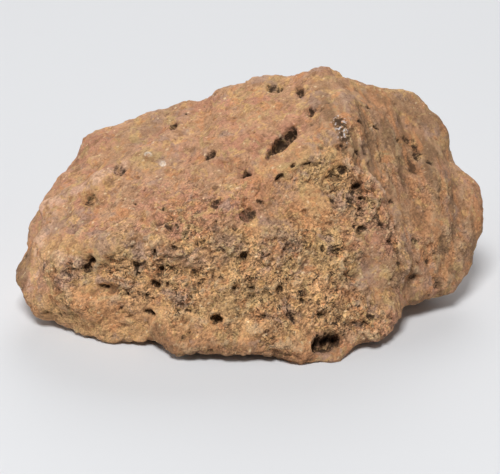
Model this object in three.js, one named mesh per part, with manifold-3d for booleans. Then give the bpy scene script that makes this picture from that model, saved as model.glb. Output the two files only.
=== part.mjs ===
// Stony meteorite (chondrite), a hand-sized broken stone, as one solid.
// Millimetres, +Z up, X along the length, the flat resting face on z = 0 and the bounding box
// centred on the origin in X and Y. The front is the broken, crumbly side and looks along -Y.
import * as THREE from "three";
import { ConvexHull } from "three/addons/math/ConvexHull.js";
import { mergeVertices } from "three/addons/utils/BufferGeometryUtils.js";
import Module from "manifold-3d";

// ---- driving dimensions, mm
const LENGTH = 94; // knob to knob along X
const DEPTH = 63; // toe to back along Y
const HEIGHT = 45; // resting face to peak
const HEART = [0, 2, 20]; // the inner point every direction below is measured from
const EDGE_SHARPNESS = 45; // exponent of the edge rounding: higher gives sharper edges
const GRID = 22; // squares along each edge of the six-sided grid the skin is drawn on

// The stone's main corners, in percent of the length, the depth and the height:
// X and Y run from -50 to 50 about the middle, Z from 0 at the resting face.
const CORNERS = [
  [17, 20, 103], [10, 24, 97], [-1, 25, 94], [-11, 26, 88], [-25, 27, 79], // peak and crest
  [-35, 24, 68], [-44, 8, 48], [-48, -4, 33], // left brow
  [-50, -13, 18], [-49, -21, 17], [-47, -21, 8], // left end
  [-43, -28, 20], [-31, -34, 21], [-18, -39, 17], [-11, -42, 12], [9, -47, 9], // ledge over the foot
  [-39, -30, -1], [-29, -38, -1], [-11, -39, -1], [5, -42, -1], [15, -47, -1], [21, -45, 1], // front foot
  [-41, -27, 37], [-31, -31, 46], [-21, -32, 50], [-10, -32, 52], // crease over the broken front
  [21, -4, 89], [23, -12, 74], [28, -38, 7], [31, -33, 16], // ridge at the right of the front
  [46, -8, 12], [50, 5, 28], [51, 9, 47], [43, 21, 65], [38, 25, 86], // right end
  [32, 45, 60], [5, 47, 66], [-22, 45, 49], [-41, 28, 31], [44, 35, 31], [2, 55, 27], // back
  [0, 47, -2], [31, 39, -2], [-27, 39, -2], [-40, 5, 2], [36, 5, 2], // back feet
];

// Swells, ribs, dips and furrows: [longitude, latitude, longitude, latitude] in degrees of the two
// ends of a stroke as seen from the heart (0 looks along +X, -90 to the front), then the reach of
// the stroke to each side and its height, in mm. A negative height is a hollow.
const STROKES = [
  [5, 1, 1, -3, 6, 1.1], // knob on the right end
  [9, 9, 7, 7, 6, -2.3], // notch above it
  [-4, -13, -6, -14, 4, -0.6], // step under it
  [-11, -19, -6, -14, 8, 1.8], // bulge low on the right
  [-35, -20, -27, -20, 8.5, -1.7], // undercut right of the toe
  [38, 55, 33, 53, 7, 0.4], // the peak
  [46, 62, 48, 60, 6, -1.2], // dip left of the peak
  [16, 38, 23, 48, 7, -1.6], // dip right of the peak
  [19, 34, 16, 27, 8, -1.2], // slack of the right shoulder
  [-169, -12, -167, -13, 5, 0.9], // knob on the left end
  [-174, -7, -176, -6, 4, 0.9], // swell over it
  [-178, -4, 176, 1, 7, 1], // swell of the left cheek
  [174, 3, 174, 5, 6, -0.8], // dent in the left brow
  [-61, -29, -56, -29, 5, 1.9], // lip under the large hole
  [-54, -27, -52, -26, 5, -1.6], // bite beside the lip
  [0, 49, -17, 40, 6, 0.7], // ridge, top
  [-17, 40, -24, 19, 6, 0.6], // ridge, upper half
  [-25, 15, -29, -7, 7, 0.6], // ridge, lower half
  [-29, -8, -34, -19, 7, 1], // ridge, foot
  [-39, -22, -44, -25, 6, 1.7], // corner of the toe
  [4, 37, -9, 27, 8, -0.5], // valley behind the ridge, upper half
  [-12, 20, -19, 1, 8, -0.6], // valley behind the ridge, lower half
  [-24, -9, -27, -16, 8, -1.2], // hollow behind the ridge foot
  [5, 24, 0, 20, 7, -1], // hollow high on the right side
  [1, 11, -9, -3, 9, 1.2], // swell of the right side
  [-73, 36, -42, 41, 6, 0.6], // shoulder rib, left half
  [-42, 41, -28, 30, 5, 0.7], // shoulder rib, right half
  [-64, 25, -38, 25, 9, -0.9], // scallop under the shoulder
  [-75, 58, -19, 59, 7, -1], // furrow of the long vug
  [-180, 4, -175, 15, 7, 0.4], // brow rib, left half
  [-175, 15, -179, 30, 7, 0.7], // brow rib, right half
  [172, 13, 167, 28, 9, -0.7], // slack behind the brow rib
  [162, 9, 157, 16, 8, -1.2], // slack of the back left shoulder
  [58, 59, 72, 56, 6, -0.8], // dip of the crest
  [-167, 26, -117, 32, 9, -0.7], // furrow across the top face
  [-163, -6, -145, 1, 6, 0.9], // crease lip, left third
  [-145, 1, -120, 2, 6, 0.7], // crease lip, middle third
  [-120, 2, -87, 5, 6, 0.7], // crease lip, right third
  [-147, -5, -142, -12, 7, -1.2], // broken hollow, left
  [-131, -10, -118, -12, 8, -0.7], // broken hollow, middle
  [-105, -7, -85, -11, 8, -1], // broken hollow, right
  [-73, -12, -50, -6, 10, 1.2], // swell of the front
  [-53, 7, -40, 12, 9, -1.1], // dish of the front
  [-156, -15, -144, -15, 5, 0.9], // ledge, left
  [-144, -18, -143, -19, 4.5, 1.3], // knob on the ledge
  [-151, -21, -139, -25, 5, -0.9], // groove under the ledge, left
  [-133, -27, -127, -28, 5, -2.4], // bite in the front foot
  [-120, -27, -111, -29, 6, 1], // knob on the front foot
  [-107, -23, -90, -26, 7, -0.9], // groove under the ledge, right
  [-83, -27, -71, -27, 7, 0.8], // swell of the front foot
  [-161, -17, -160, -20, 5, 1.4], // heel under the left knob
  [-154, -25, -152, -26, 5, -0.8], // slack behind the heel
  [-152, -9, -150, -12, 5, 1], // knob left of the broken hollow
  [60, 20, 95, 30, 12, 1.8], // back, high swell
  [115, 10, 140, 25, 12, -1.8], // back, broad hollow
  [80, -10, 110, -15, 12, 1.6], // back, low swell
  [45, -5, 60, 10, 10, -1.8], // back, right hollow
  [130, -15, 150, -20, 9, 1.5], // back, left swell
  [28, -25, 40, -15, 9, -1.6], // back, right undercut
  [100, 45, 140, 50, 11, -1.2], // back of the crest, hollow
  [70, 55, 75, 40, 8, 1], // back of the crest, rib
  [160, -20, 175, -30, 8, -1.5], // left undercut
  [95, 5, 118, -8, 8, -1.4], // back, scar between the swells
  [20, 0, 30, 18, 9, 1.2], // back, right rib
  [35, 38, 50, 25, 9, -1.3], // back, right scar
  [140, 0, 165, 10, 9, 1.1], // back, left rib
  [-140, -43, -126, -44, 6, -2.2], // gap under the front foot, left
  [-112, -46, -80, -45, 7, -3.2], // gap under the front foot, right
  [-20, -38, 15, -36, 9, -2.8], // gap under the right end
  [-178, -34, -162, -38, 8, -2.2], // gap under the left end
  [70, -38, 110, -40, 8, -2], // gap under the back
  [-120, -70, 60, -70, 16, 1.2], // swell of the underside, cut flat where it rests
  [159, 14, 160, 18, 5, 1.1], // corner of the back left shoulder
  [171, 9, 174, 11, 5, -1.1], // dip under that corner
  [-166, -4, -175, 1, 3.6, 1.3], // crest rib, up the left end
  [-175, 1, -172, 13, 3.6, 1.2], // crest rib, over the brow
  [-172, 13, -178, 29, 3.6, 1], // crest rib, lower middle
  [-178, 29, 148, 45, 4, 0.6], // crest rib, upper middle
  [178, 10, 162, 31, 5, -0.9], // slack behind the crest rib, lower
  [162, 31, 142, 43, 5, -0.6], // slack behind the crest rib, upper
  [132, 48, 128, 46, 4, -0.8], // notch in the crest
  [130, 50, -161, 55, 4, -0.5], // crease from the notch down the top face
  [120, 56, -150, 61, 5, 0.5], // swell beside the crease
  [-165, -6, -162, -13, 4, 0.8], // rib down the left end
  [-163, -16, -161, -18, 5, -0.6], // slack under the left knob
  [-161, -20, -141, -26, 5, 0.8], // swell of the lower left edge
  [-135, -27, -127, -28, 5, 1.8], // lip of the bite in the front foot
  [-136, -34, -127, -35, 5.5, -4.6], // undercut of that lip
  [-112, -28, -73, -28, 5.5, 2.6], // lip of the front foot
  [-111, -36, -75, -36, 6, -4.2], // undercut of that lip
  [-112, -25, -98, -25, 9, 1.7], // swell over the same lip
  [-167, -12, -165, -13, 3, 0.8], // knob behind the left rib
  [-161, -9, -160, -13, 3.4, -1.2], // slack between the rib and the knob
  [-21, -23, -14, -21, 5, 1.7], // low corner of the right end
  [2, -3, 0, -7, 4, 1.1], // lower half of the right knob
  [-1, -9, -6, -15, 6, 1.2], // right end under the knob
  [14, 18, 12, 13, 6, 1.1], // corner of the right shoulder
  [128, 46, 152, 22, 6, -0.8], // slack of the back crest
  [-149, -26, -143, -28, 5, -0.3], // dent left of the bite in the front foot
  [-119, -29, -96, -30, 5, 0.7], // fuller lip of the front foot
  [8, 4, 6, 2, 4, 0.6], // upper corner of the right knob
  [163, 11, 168, 7, 4, -0.8], // dent in the back left shoulder
];

// Waves of random height that roughen the skin: [wavelength, height] in mm.
const WAVES = [[19, 0.3], [9.5, 0.4], [5.5, 0.25]];
const SCALLOP = 8.5; // width of the shallow dimples all over the skin, mm
const SCALLOP_DEPTH = 0.6;

// Pits and vugs: [longitude, latitude] in degrees, then length, width and depth in mm, and the
// turn of the length in degrees from level.
const PITS = [
  [-27, 61, 4.8, 3.1, 2.8, 0], [-39, 61, 5, 3.3, 3.3, 8], [-56, 59, 4.2, 2.2, 2, 14], // long vug
  [-93, 46, 2.2, 2, 2.2, 0], [-146, 53, 3, 1.9, 1.4, 90], [158, 40, 3.8, 2.2, 2.4, 10], // top face
  [27, 62, 3.2, 1.7, 1.9, 140], [-1, 58, 2.6, 1.7, 1.6, 0], [57, 65, 3.6, 2.6, 1.3, 20],
  [-172, 18, 4, 2.2, 0.8, 20], [-166, 7, 3.4, 3, 1.2, 0], [-127, 9, 2.4, 1.3, 1, 160], // top left
  [-110, 23, 3.2, 2.6, 1.2, 60], [-90, 17, 3.4, 2.6, 1.2, 10], [-65, 38, 1.9, 1, 0.9, 35],
  [-146, -5, 2.6, 2.2, 2.2, 90], [-147, -8, 2.2, 1.6, 1.8, 60], [-142, -13, 3, 1.2, 1.1, 0], // front left
  [-150, -7, 2.4, 2.2, 0.8, 90], [-134, -6, 2.3, 1.4, 1.3, 110], [-128, -1, 2.3, 1.1, 1.2, 100],
  [-127, -13, 2.4, 1.6, 1.6, 150], [-127, -21, 2.2, 1.2, 1.3, 170],
  [-92, -3, 2.2, 1.7, 1.2, 60], [-89, -14, 1.9, 1, 1.3, 150], [-102, -22, 2.9, 1.7, 2.6, 170], // front
  [-68, -17, 2.2, 1.3, 1.2, 130], [-74, -21, 2.6, 1.2, 1.3, 120],
  [-63, -26, 7, 3.6, 5.5, 10], [-49, -23, 2.1, 1.1, 1.3, 10], // toe
  [-49, -3, 1.9, 1.1, 0.9, 0], [-29, 19, 2.5, 1.4, 1.4, 0], [-33, 14, 2, 1.3, 1, 140], // by the ridge
  [-35, 3, 2.3, 1.2, 1.1, 145], [-28, 2, 2.5, 1, 1.2, 120], [-30, 29, 2.3, 2, 1.2, 120],
  [2, 17, 4.8, 1.9, 2.2, 25], [5, 20, 3, 2.4, 0.9, 120], [-20, 17, 3.2, 1.2, 1.1, 120], // right side
  [-18, -6, 1.8, 1.4, 0.9, 100], [-30, -10, 2.1, 1.2, 1, 90], [-23, -16, 2.1, 1.5, 1, 90],
];
const UNSEEN_PITS = 12; // pits scattered over the back, half as deep as long
const UNSEEN_LENGTH = [1.6, 4.4]; // least and greatest length, mm
const UNSEEN_LONGITUDE = [20, 145]; // where they lie, degrees
const UNSEEN_LATITUDE = [-25, 50];
const PIT_LUMPINESS = 0.18; // how far a pit's wall wanders from an ellipsoid, as a share of its radius
const FINE_PIT = 2.5; // pits at least this long have 80 faces, smaller ones 20

// ---- repeatable random numbers and noise
const SEED = { waves: 11, scallops: 5, pitWalls: 31, unseenPits: 40 };

// A number from 0 to 1 for each point of a whole-number lattice.
function latticeRandom(i, j, k, seed) {
  let h = Math.imul(i, 374761393) + Math.imul(j, 668265263)
    + Math.imul(k, 2246822519) + Math.imul(seed, 3266489917);
  h = Math.imul(h ^ (h >>> 13), 1274126177);
  h = Math.imul(h ^ (h >>> 15), 2654435761);
  return ((h ^ (h >>> 16)) >>> 0) / 4294967296;
}

// Smooth noise from -1 to 1: lattice values blended with the 6t^5 - 15t^4 + 10t^3 ease.
function smoothNoise(x, y, z, seed) {
  const cell = [x, y, z].map(Math.floor);
  const ease = [x, y, z].map((v, a) => {
    const t = v - cell[a];
    return t * t * t * (t * (t * 6 - 15) + 10);
  });
  let sum = 0;
  for (let n = 0; n < 8; n++) {
    const step = [n & 1, (n >> 1) & 1, n >> 2];
    const share = step.reduce((w, s, a) => w * (s ? ease[a] : 1 - ease[a]), 1);
    sum += share * latticeRandom(...cell.map((c, a) => c + step[a]), seed);
  }
  return 2 * sum - 1;
}

const MEAN_CELL_DISTANCE = 0.55;

// Distance to the nearest of the points scattered one to a lattice cell.
function cellDistance(x, y, z, seed) {
  const cell = [x, y, z].map(Math.floor);
  let nearest = Infinity;
  for (let n = 0; n < 27; n++) {
    const c = [cell[0] + (n % 3) - 1, cell[1] + (Math.floor(n / 3) % 3) - 1, cell[2] + Math.floor(n / 9) - 1];
    const point = [1, 2, 3].map((s, a) => c[a] + latticeRandom(...c, seed + s));
    nearest = Math.min(nearest, Math.hypot(point[0] - x, point[1] - y, point[2] - z));
  }
  return nearest;
}

// ---- the skin, as a distance from the heart in every direction
const heart = new THREE.Vector3(...HEART);

function direction(longitude, latitude) {
  const lon = THREE.MathUtils.degToRad(longitude), lat = THREE.MathUtils.degToRad(latitude);
  return new THREE.Vector3(Math.cos(lat) * Math.cos(lon), Math.cos(lat) * Math.sin(lon), Math.sin(lat));
}

// The planes of the hull of the corners, as normals divided by their distance from the heart.
function hullFacets() {
  const points = CORNERS.map(([x, y, z]) =>
    new THREE.Vector3(x * LENGTH, y * DEPTH, z * HEIGHT).divideScalar(100).sub(heart));
  return new ConvexHull().setFromPoints(points).faces.map((face) =>
    face.normal.clone().divideScalar(face.constant));
}
const facets = hullFacets();

// Point of the rounded hull: 1 / r is the p-norm of the facet terms, so r is a soft minimum.
function hullPoint(u) {
  const terms = facets.map((facet) => Math.max(0, facet.dot(u)));
  const top = Math.max(...terms);
  const sum = terms.reduce((s, t) => s + (t / top) ** EDGE_SHARPNESS, 0);
  return heart.clone().addScaledVector(u, 1 / (top * sum ** (1 / EDGE_SHARPNESS)));
}

const strokes = STROKES.map(([lon1, lat1, lon2, lat2, reach, height]) => ({
  line: new THREE.Line3(hullPoint(direction(lon1, lat1)), hullPoint(direction(lon2, lat2))),
  reach,
  height,
}));

// Height of the relief over the hull point p: strokes with a (1 - q^2)^2 section, waves, scallops.
function relief(p) {
  const near = new THREE.Vector3();
  let h = 0;
  for (const { line, reach, height } of strokes) {
    const q = line.closestPointToPoint(p, true, near).distanceTo(p) / reach;
    if (q < 1) h += height * (1 - q * q) ** 2;
  }
  WAVES.forEach(([length, height], n) => {
    h += height * smoothNoise(p.x / length, p.y / length, p.z / length, SEED.waves + n);
  });
  const fromCentre = cellDistance(p.x / SCALLOP, p.y / SCALLOP, p.z / SCALLOP, SEED.scallops);
  return h + SCALLOP_DEPTH * (fromCentre - MEAN_CELL_DISTANCE);
}

// Point of the skin in direction u; rays that would pass under z = 0 stop on the resting face.
function skinPoint(u) {
  const base = hullPoint(u);
  const reach = base.distanceTo(heart) + relief(base);
  const floor = u.z < 0 ? -HEART[2] / u.z : Infinity;
  const point = heart.clone().addScaledVector(u, Math.min(reach, floor));
  if (reach > floor) point.z = 0;
  return point;
}

// ---- solids
// Cube of GRID x GRID squares a side, each square taking an equal angle, pushed out to the skin.
function skinGeometry() {
  const cube = new THREE.BoxGeometry(2, 2, 2, GRID, GRID, GRID);
  cube.deleteAttribute("normal");
  cube.deleteAttribute("uv");
  const ball = mergeVertices(cube, 1e-5);
  const at = ball.getAttribute("position");
  for (let i = 0; i < at.count; i++) {
    const onCube = new THREE.Vector3().fromBufferAttribute(at, i).toArray();
    const u = new THREE.Vector3(...onCube.map((v) => Math.tan((v * Math.PI) / 4))).normalize();
    at.setXYZ(i, ...skinPoint(u).toArray());
  }
  return ball;
}

// Scale and shift that bring the skin to exactly LENGTH x DEPTH x HEIGHT over the origin.
function fitToSize(geometry) {
  const box = new THREE.Box3().setFromBufferAttribute(geometry.getAttribute("position"));
  const size = box.getSize(new THREE.Vector3()), middle = box.getCenter(new THREE.Vector3());
  return new THREE.Matrix4()
    .makeScale(LENGTH / size.x, DEPTH / size.y, HEIGHT / box.max.z)
    .multiply(new THREE.Matrix4().makeTranslation(-middle.x, -middle.y, 0));
}

// Outward normal of the skin, from two neighbouring directions about 1.5 mm away.
function skinNormal(u, east, north) {
  const step = 0.04, here = skinPoint(u);
  const a = skinPoint(u.clone().addScaledVector(east, step).normalize()).sub(here);
  const b = skinPoint(u.clone().addScaledVector(north, step).normalize()).sub(here);
  return a.cross(b).normalize();
}

// A lumpy ellipsoid sunk half its height into the skin.
function pitGeometry([longitude, latitude, length, width, depth, turn], number) {
  const u = direction(longitude, latitude);
  const east = direction(longitude + 90, 0), north = u.clone().cross(east);
  const n = skinNormal(u, east, north);
  const along = east.applyAxisAngle(u, THREE.MathUtils.degToRad(turn));
  along.addScaledVector(n, -n.dot(along)).normalize();
  const ball = new THREE.IcosahedronGeometry(1, length < FINE_PIT ? 0 : 1);
  ball.deleteAttribute("normal");
  ball.deleteAttribute("uv");
  const pit = mergeVertices(ball, 1e-4);
  const at = pit.getAttribute("position");
  for (let i = 0; i < at.count; i++) {
    const v = new THREE.Vector3().fromBufferAttribute(at, i);
    v.multiplyScalar(1 + PIT_LUMPINESS * smoothNoise(v.x, v.y, v.z, SEED.pitWalls + number));
    at.setXYZ(i, ...v.toArray());
  }
  const frame = new THREE.Matrix4().makeBasis(along, n.clone().cross(along), n).setPosition(skinPoint(u));
  return pit.applyMatrix4(frame.multiply(new THREE.Matrix4().makeScale(length / 2, width / 2, depth)));
}

// Rows like those of PITS, with random places, sizes and turns; squaring makes the small ones common.
function unseenPits() {
  const { lerp } = THREE.MathUtils;
  return Array.from({ length: UNSEEN_PITS }, (_, i) => {
    const [a, b, c, d, e] = [1, 2, 3, 4, 5].map((s) => latticeRandom(i, 0, 0, SEED.unseenPits + s));
    const length = lerp(...UNSEEN_LENGTH, c * c);
    return [lerp(...UNSEEN_LONGITUDE, a), lerp(...UNSEEN_LATITUDE, b), length, length * lerp(0.55, 0.95, d),
      length / 2, 180 * e];
  });
}

const wasm = await Module();
wasm.setup();

function toSolid(geometry) {
  return new wasm.Manifold(new wasm.Mesh({
    numProp: 3,
    vertProperties: new Float32Array(geometry.getAttribute("position").array),
    triVerts: new Uint32Array(geometry.index.array),
  }));
}

function toGeometry(solid) {
  const mesh = solid.getMesh();
  const geometry = new THREE.BufferGeometry();
  geometry.setAttribute("position", new THREE.BufferAttribute(new Float32Array(mesh.vertProperties), 3));
  geometry.setIndex(new THREE.BufferAttribute(new Uint32Array(mesh.triVerts), 1));
  geometry.computeVertexNormals();
  return geometry;
}

const group = new THREE.Group();
const skin = skinGeometry();
const fit = fitToSize(skin);
let body = toSolid(skin.applyMatrix4(fit));
[...PITS, ...unseenPits()].forEach((pit, number) => {
  body = body.subtract(toSolid(pitGeometry(pit, number).applyMatrix4(fit)));
});
const stone = new THREE.Mesh(
  toGeometry(body),
  new THREE.MeshStandardMaterial({ color: 0x9c6c48, roughness: 0.95, metalness: 0 }),
);
stone.name = "stone";
group.add(stone);

export default group;
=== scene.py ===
# %% [markdown]
# # A chondrite, one broken stone
# A chondrite is a meteorite made of dust and once-molten drops pressed together. This one is a
# hand-sized lump: smooth, weathered faces on top, a crumbly broken front, and a flat underside.
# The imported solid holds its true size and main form. Everything here is made around that solid, so
# we open it first and keep its box, which the finished stone has to stay inside.

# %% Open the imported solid
import itertools

import bpy
import numpy as np
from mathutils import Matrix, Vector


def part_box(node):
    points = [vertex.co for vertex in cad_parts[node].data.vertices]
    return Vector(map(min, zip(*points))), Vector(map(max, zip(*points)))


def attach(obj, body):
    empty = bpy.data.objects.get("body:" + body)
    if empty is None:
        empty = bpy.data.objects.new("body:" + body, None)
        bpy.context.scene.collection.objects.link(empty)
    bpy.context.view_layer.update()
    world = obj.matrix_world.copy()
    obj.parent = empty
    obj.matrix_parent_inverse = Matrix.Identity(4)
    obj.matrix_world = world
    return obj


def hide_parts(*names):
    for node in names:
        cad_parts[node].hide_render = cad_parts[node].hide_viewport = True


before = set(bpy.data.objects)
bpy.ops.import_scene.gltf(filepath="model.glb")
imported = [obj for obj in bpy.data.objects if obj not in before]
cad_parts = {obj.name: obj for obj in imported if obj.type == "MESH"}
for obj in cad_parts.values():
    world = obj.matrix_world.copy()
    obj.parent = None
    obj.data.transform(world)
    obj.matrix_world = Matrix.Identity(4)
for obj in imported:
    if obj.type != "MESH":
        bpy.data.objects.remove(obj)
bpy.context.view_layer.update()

MM = 0.001  # shapes below are worked out in millimetres; Blender works in metres
LOW, HIGH = (np.array(corner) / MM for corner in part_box("stone"))
LENGTH, DEPTH, HEIGHT = (float(round(side, 3)) for side in HIGH - LOW)
HEART = np.array([0, 2, 20])  # the inner point that every direction is measured from
print("solid, mm:", LENGTH, DEPTH, HEIGHT)

# %% [markdown]
# ## Random numbers that can be repeated
# Every wave, crumb and pore on a stone is chance. Blender's own random textures could push the
# surface about, but the solid was roughened with a small noise of its own, and only the same
# numbers give the same bumps. So we write that noise again, on whole arrays of points at a time.

# %% Noise on arrays of points


def lattice_random(cell, seed):
    """A number from 0 to 1 for each whole-number point: its three indices and the seed, each times a
    large odd number, are added and the bits are stirred by shifting and multiplying."""
    i, j, k = np.moveaxis(cell.astype(np.int64).astype(np.uint32), -1, 0)
    h = i * np.uint32(374761393) + j * np.uint32(668265263) + k * np.uint32(2246822519)
    h = h + np.uint32(seed * 3266489917 % 2**32)
    h = (h ^ (h >> np.uint32(13))) * np.uint32(1274126177)
    h = (h ^ (h >> np.uint32(15))) * np.uint32(2654435761)
    return (h ^ (h >> np.uint32(16))) / 2**32


def smooth_noise(points, seed):
    """Noise from -1 to 1: the random numbers at the eight lattice points round each point, blended
    with the ease 6t^5 - 15t^4 + 10t^3 along each axis."""
    cell = np.floor(points)
    t = points - cell
    ease = t**3 * (t * (t * 6 - 15) + 10)
    total = 0
    for step in itertools.product((0, 1), repeat=3):
        share = np.where(step, ease, 1 - ease).prod(-1)
        total = total + share * lattice_random(cell + step, seed)
    return 2 * total - 1


def layered_noise(points, start, layers):
    """start + the sum of amount x smooth_noise(points / size, seed) over the layers."""
    for size, amount, seed in layers:
        start = start + amount * smooth_noise(points / size, seed)
    return start


def cell_distances(points, seed):
    """Distance to the nearest of the dots scattered one to a lattice cell, a random number that
    belongs to that dot, and the way from it to the point."""
    cell = np.floor(points)
    near = np.full(points.shape[:-1], 9.0)
    name, way = near.copy(), np.zeros(points.shape)
    for step in itertools.product((-1, 0, 1), repeat=3):
        c = cell + step
        from_dot = points - c - np.stack([lattice_random(c, seed + s) for s in (1, 2, 3)], -1)
        d = np.linalg.norm(from_dot, axis=-1)
        closer = d < near
        name = np.where(closer, lattice_random(c, seed + 4), name)
        way = np.where(closer[..., None], from_dot, way)
        near = np.minimum(near, d)
    return near, name, way


def ramp(values, start, end):
    """0 up to start, 1 from end on, and the smooth step 3t^2 - 2t^3 between them."""
    t = np.clip((values - start) / (end - start), 0, 1)
    return t * t * (3 - 2 * t)


print("noise at one point:", smooth_noise(np.array([[0.3, 0.6, 0.9]]), 11))

# %% [markdown]
# ## The block under the skin
# A broken stone is a block of flattish faces that meet in worn edges. It could be sculpted by hand,
# but a block is fully given by its corners: the hull round them has the faces, and a soft minimum
# over the faces wears the edges round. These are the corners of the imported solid, in percent of
# its sides, so both shapes agree.

# %% Corners and the rounded hull
EDGE_SHARPNESS = 45  # higher gives sharper edges
CORNERS = [  # X and Y from -50 to 50 about the middle, Z from 0 at the resting face
    [17, 20, 103], [10, 24, 97], [-1, 25, 94], [-11, 26, 88], [-25, 27, 79],  # peak and crest
    [-35, 24, 68], [-44, 8, 48], [-48, -4, 33],  # left brow
    [-50, -13, 18], [-49, -21, 17], [-47, -21, 8],  # left end
    [-43, -28, 20], [-31, -34, 21], [-18, -39, 17], [-11, -42, 12], [9, -47, 9],  # ledge over the foot
    [-39, -30, -1], [-29, -38, -1], [-11, -39, -1], [5, -42, -1], [15, -47, -1], [21, -45, 1],  # front foot
    [-41, -27, 37], [-31, -31, 46], [-21, -32, 50], [-10, -32, 52],  # crease over the broken front
    [21, -4, 89], [23, -12, 74], [28, -38, 7], [31, -33, 16],  # ridge at the right of the front
    [46, -8, 12], [50, 5, 28], [51, 9, 47], [43, 21, 65], [38, 25, 86],  # right end
    [32, 45, 60], [5, 47, 66], [-22, 45, 49], [-41, 28, 31], [44, 35, 31], [2, 55, 27],  # back
    [0, 47, -2], [31, 39, -2], [-27, 39, -2], [-40, 5, 2], [36, 5, 2],  # back feet
]


def directions(longitude, latitude):
    """Unit vectors seen from the heart, longitude 0 along +X and -90 to the front, in degrees."""
    lon, lat = np.radians(longitude), np.radians(latitude)
    return np.stack([np.cos(lat) * np.cos(lon), np.cos(lat) * np.sin(lon), np.sin(lat)], -1)


def hull_facets(corners):
    """The planes through three corners that leave no corner outside, as normals divided by their
    distance from the heart."""
    a, b, c = (corners[list(n)] for n in zip(*itertools.combinations(range(len(corners)), 3)))
    normal = np.cross(b - a, c - a)
    normal /= np.linalg.norm(normal, axis=1, keepdims=True)
    away = (normal * a).sum(1, keepdims=True)
    outermost = (corners @ (normal * np.sign(away)).T).max(0)
    on_hull = outermost < np.abs(away[:, 0]) + 1e-6
    return np.unique((normal / away)[on_hull].round(9), axis=0)


FACETS = hull_facets(np.array(CORNERS) / 100 * [LENGTH, DEPTH, HEIGHT] - HEART)


def hull_points(u):
    """Point of the rounded hull along each unit vector u: 1 / distance is the p-norm of the terms
    u . facet, which is a soft maximum of them."""
    terms = np.maximum(u @ FACETS.T, 0)
    top = terms.max(-1, keepdims=True)
    total = ((terms / top) ** EDGE_SHARPNESS).sum(-1, keepdims=True)
    return HEART + u / (top * total ** (1 / EDGE_SHARPNESS))


print("facets of the block:", len(FACETS))

# %% [markdown]
# ## Swells, ribs and furrows
# Frost, knocks and the old break left swells and hollows of one to three millimetres. Each could be
# a sculpting stroke. Written down, a stroke is a line between two directions, a reach to each side
# and a height, and its section (1 - q^2)^2 runs out smoothly. The rows are the solid's own.

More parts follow.
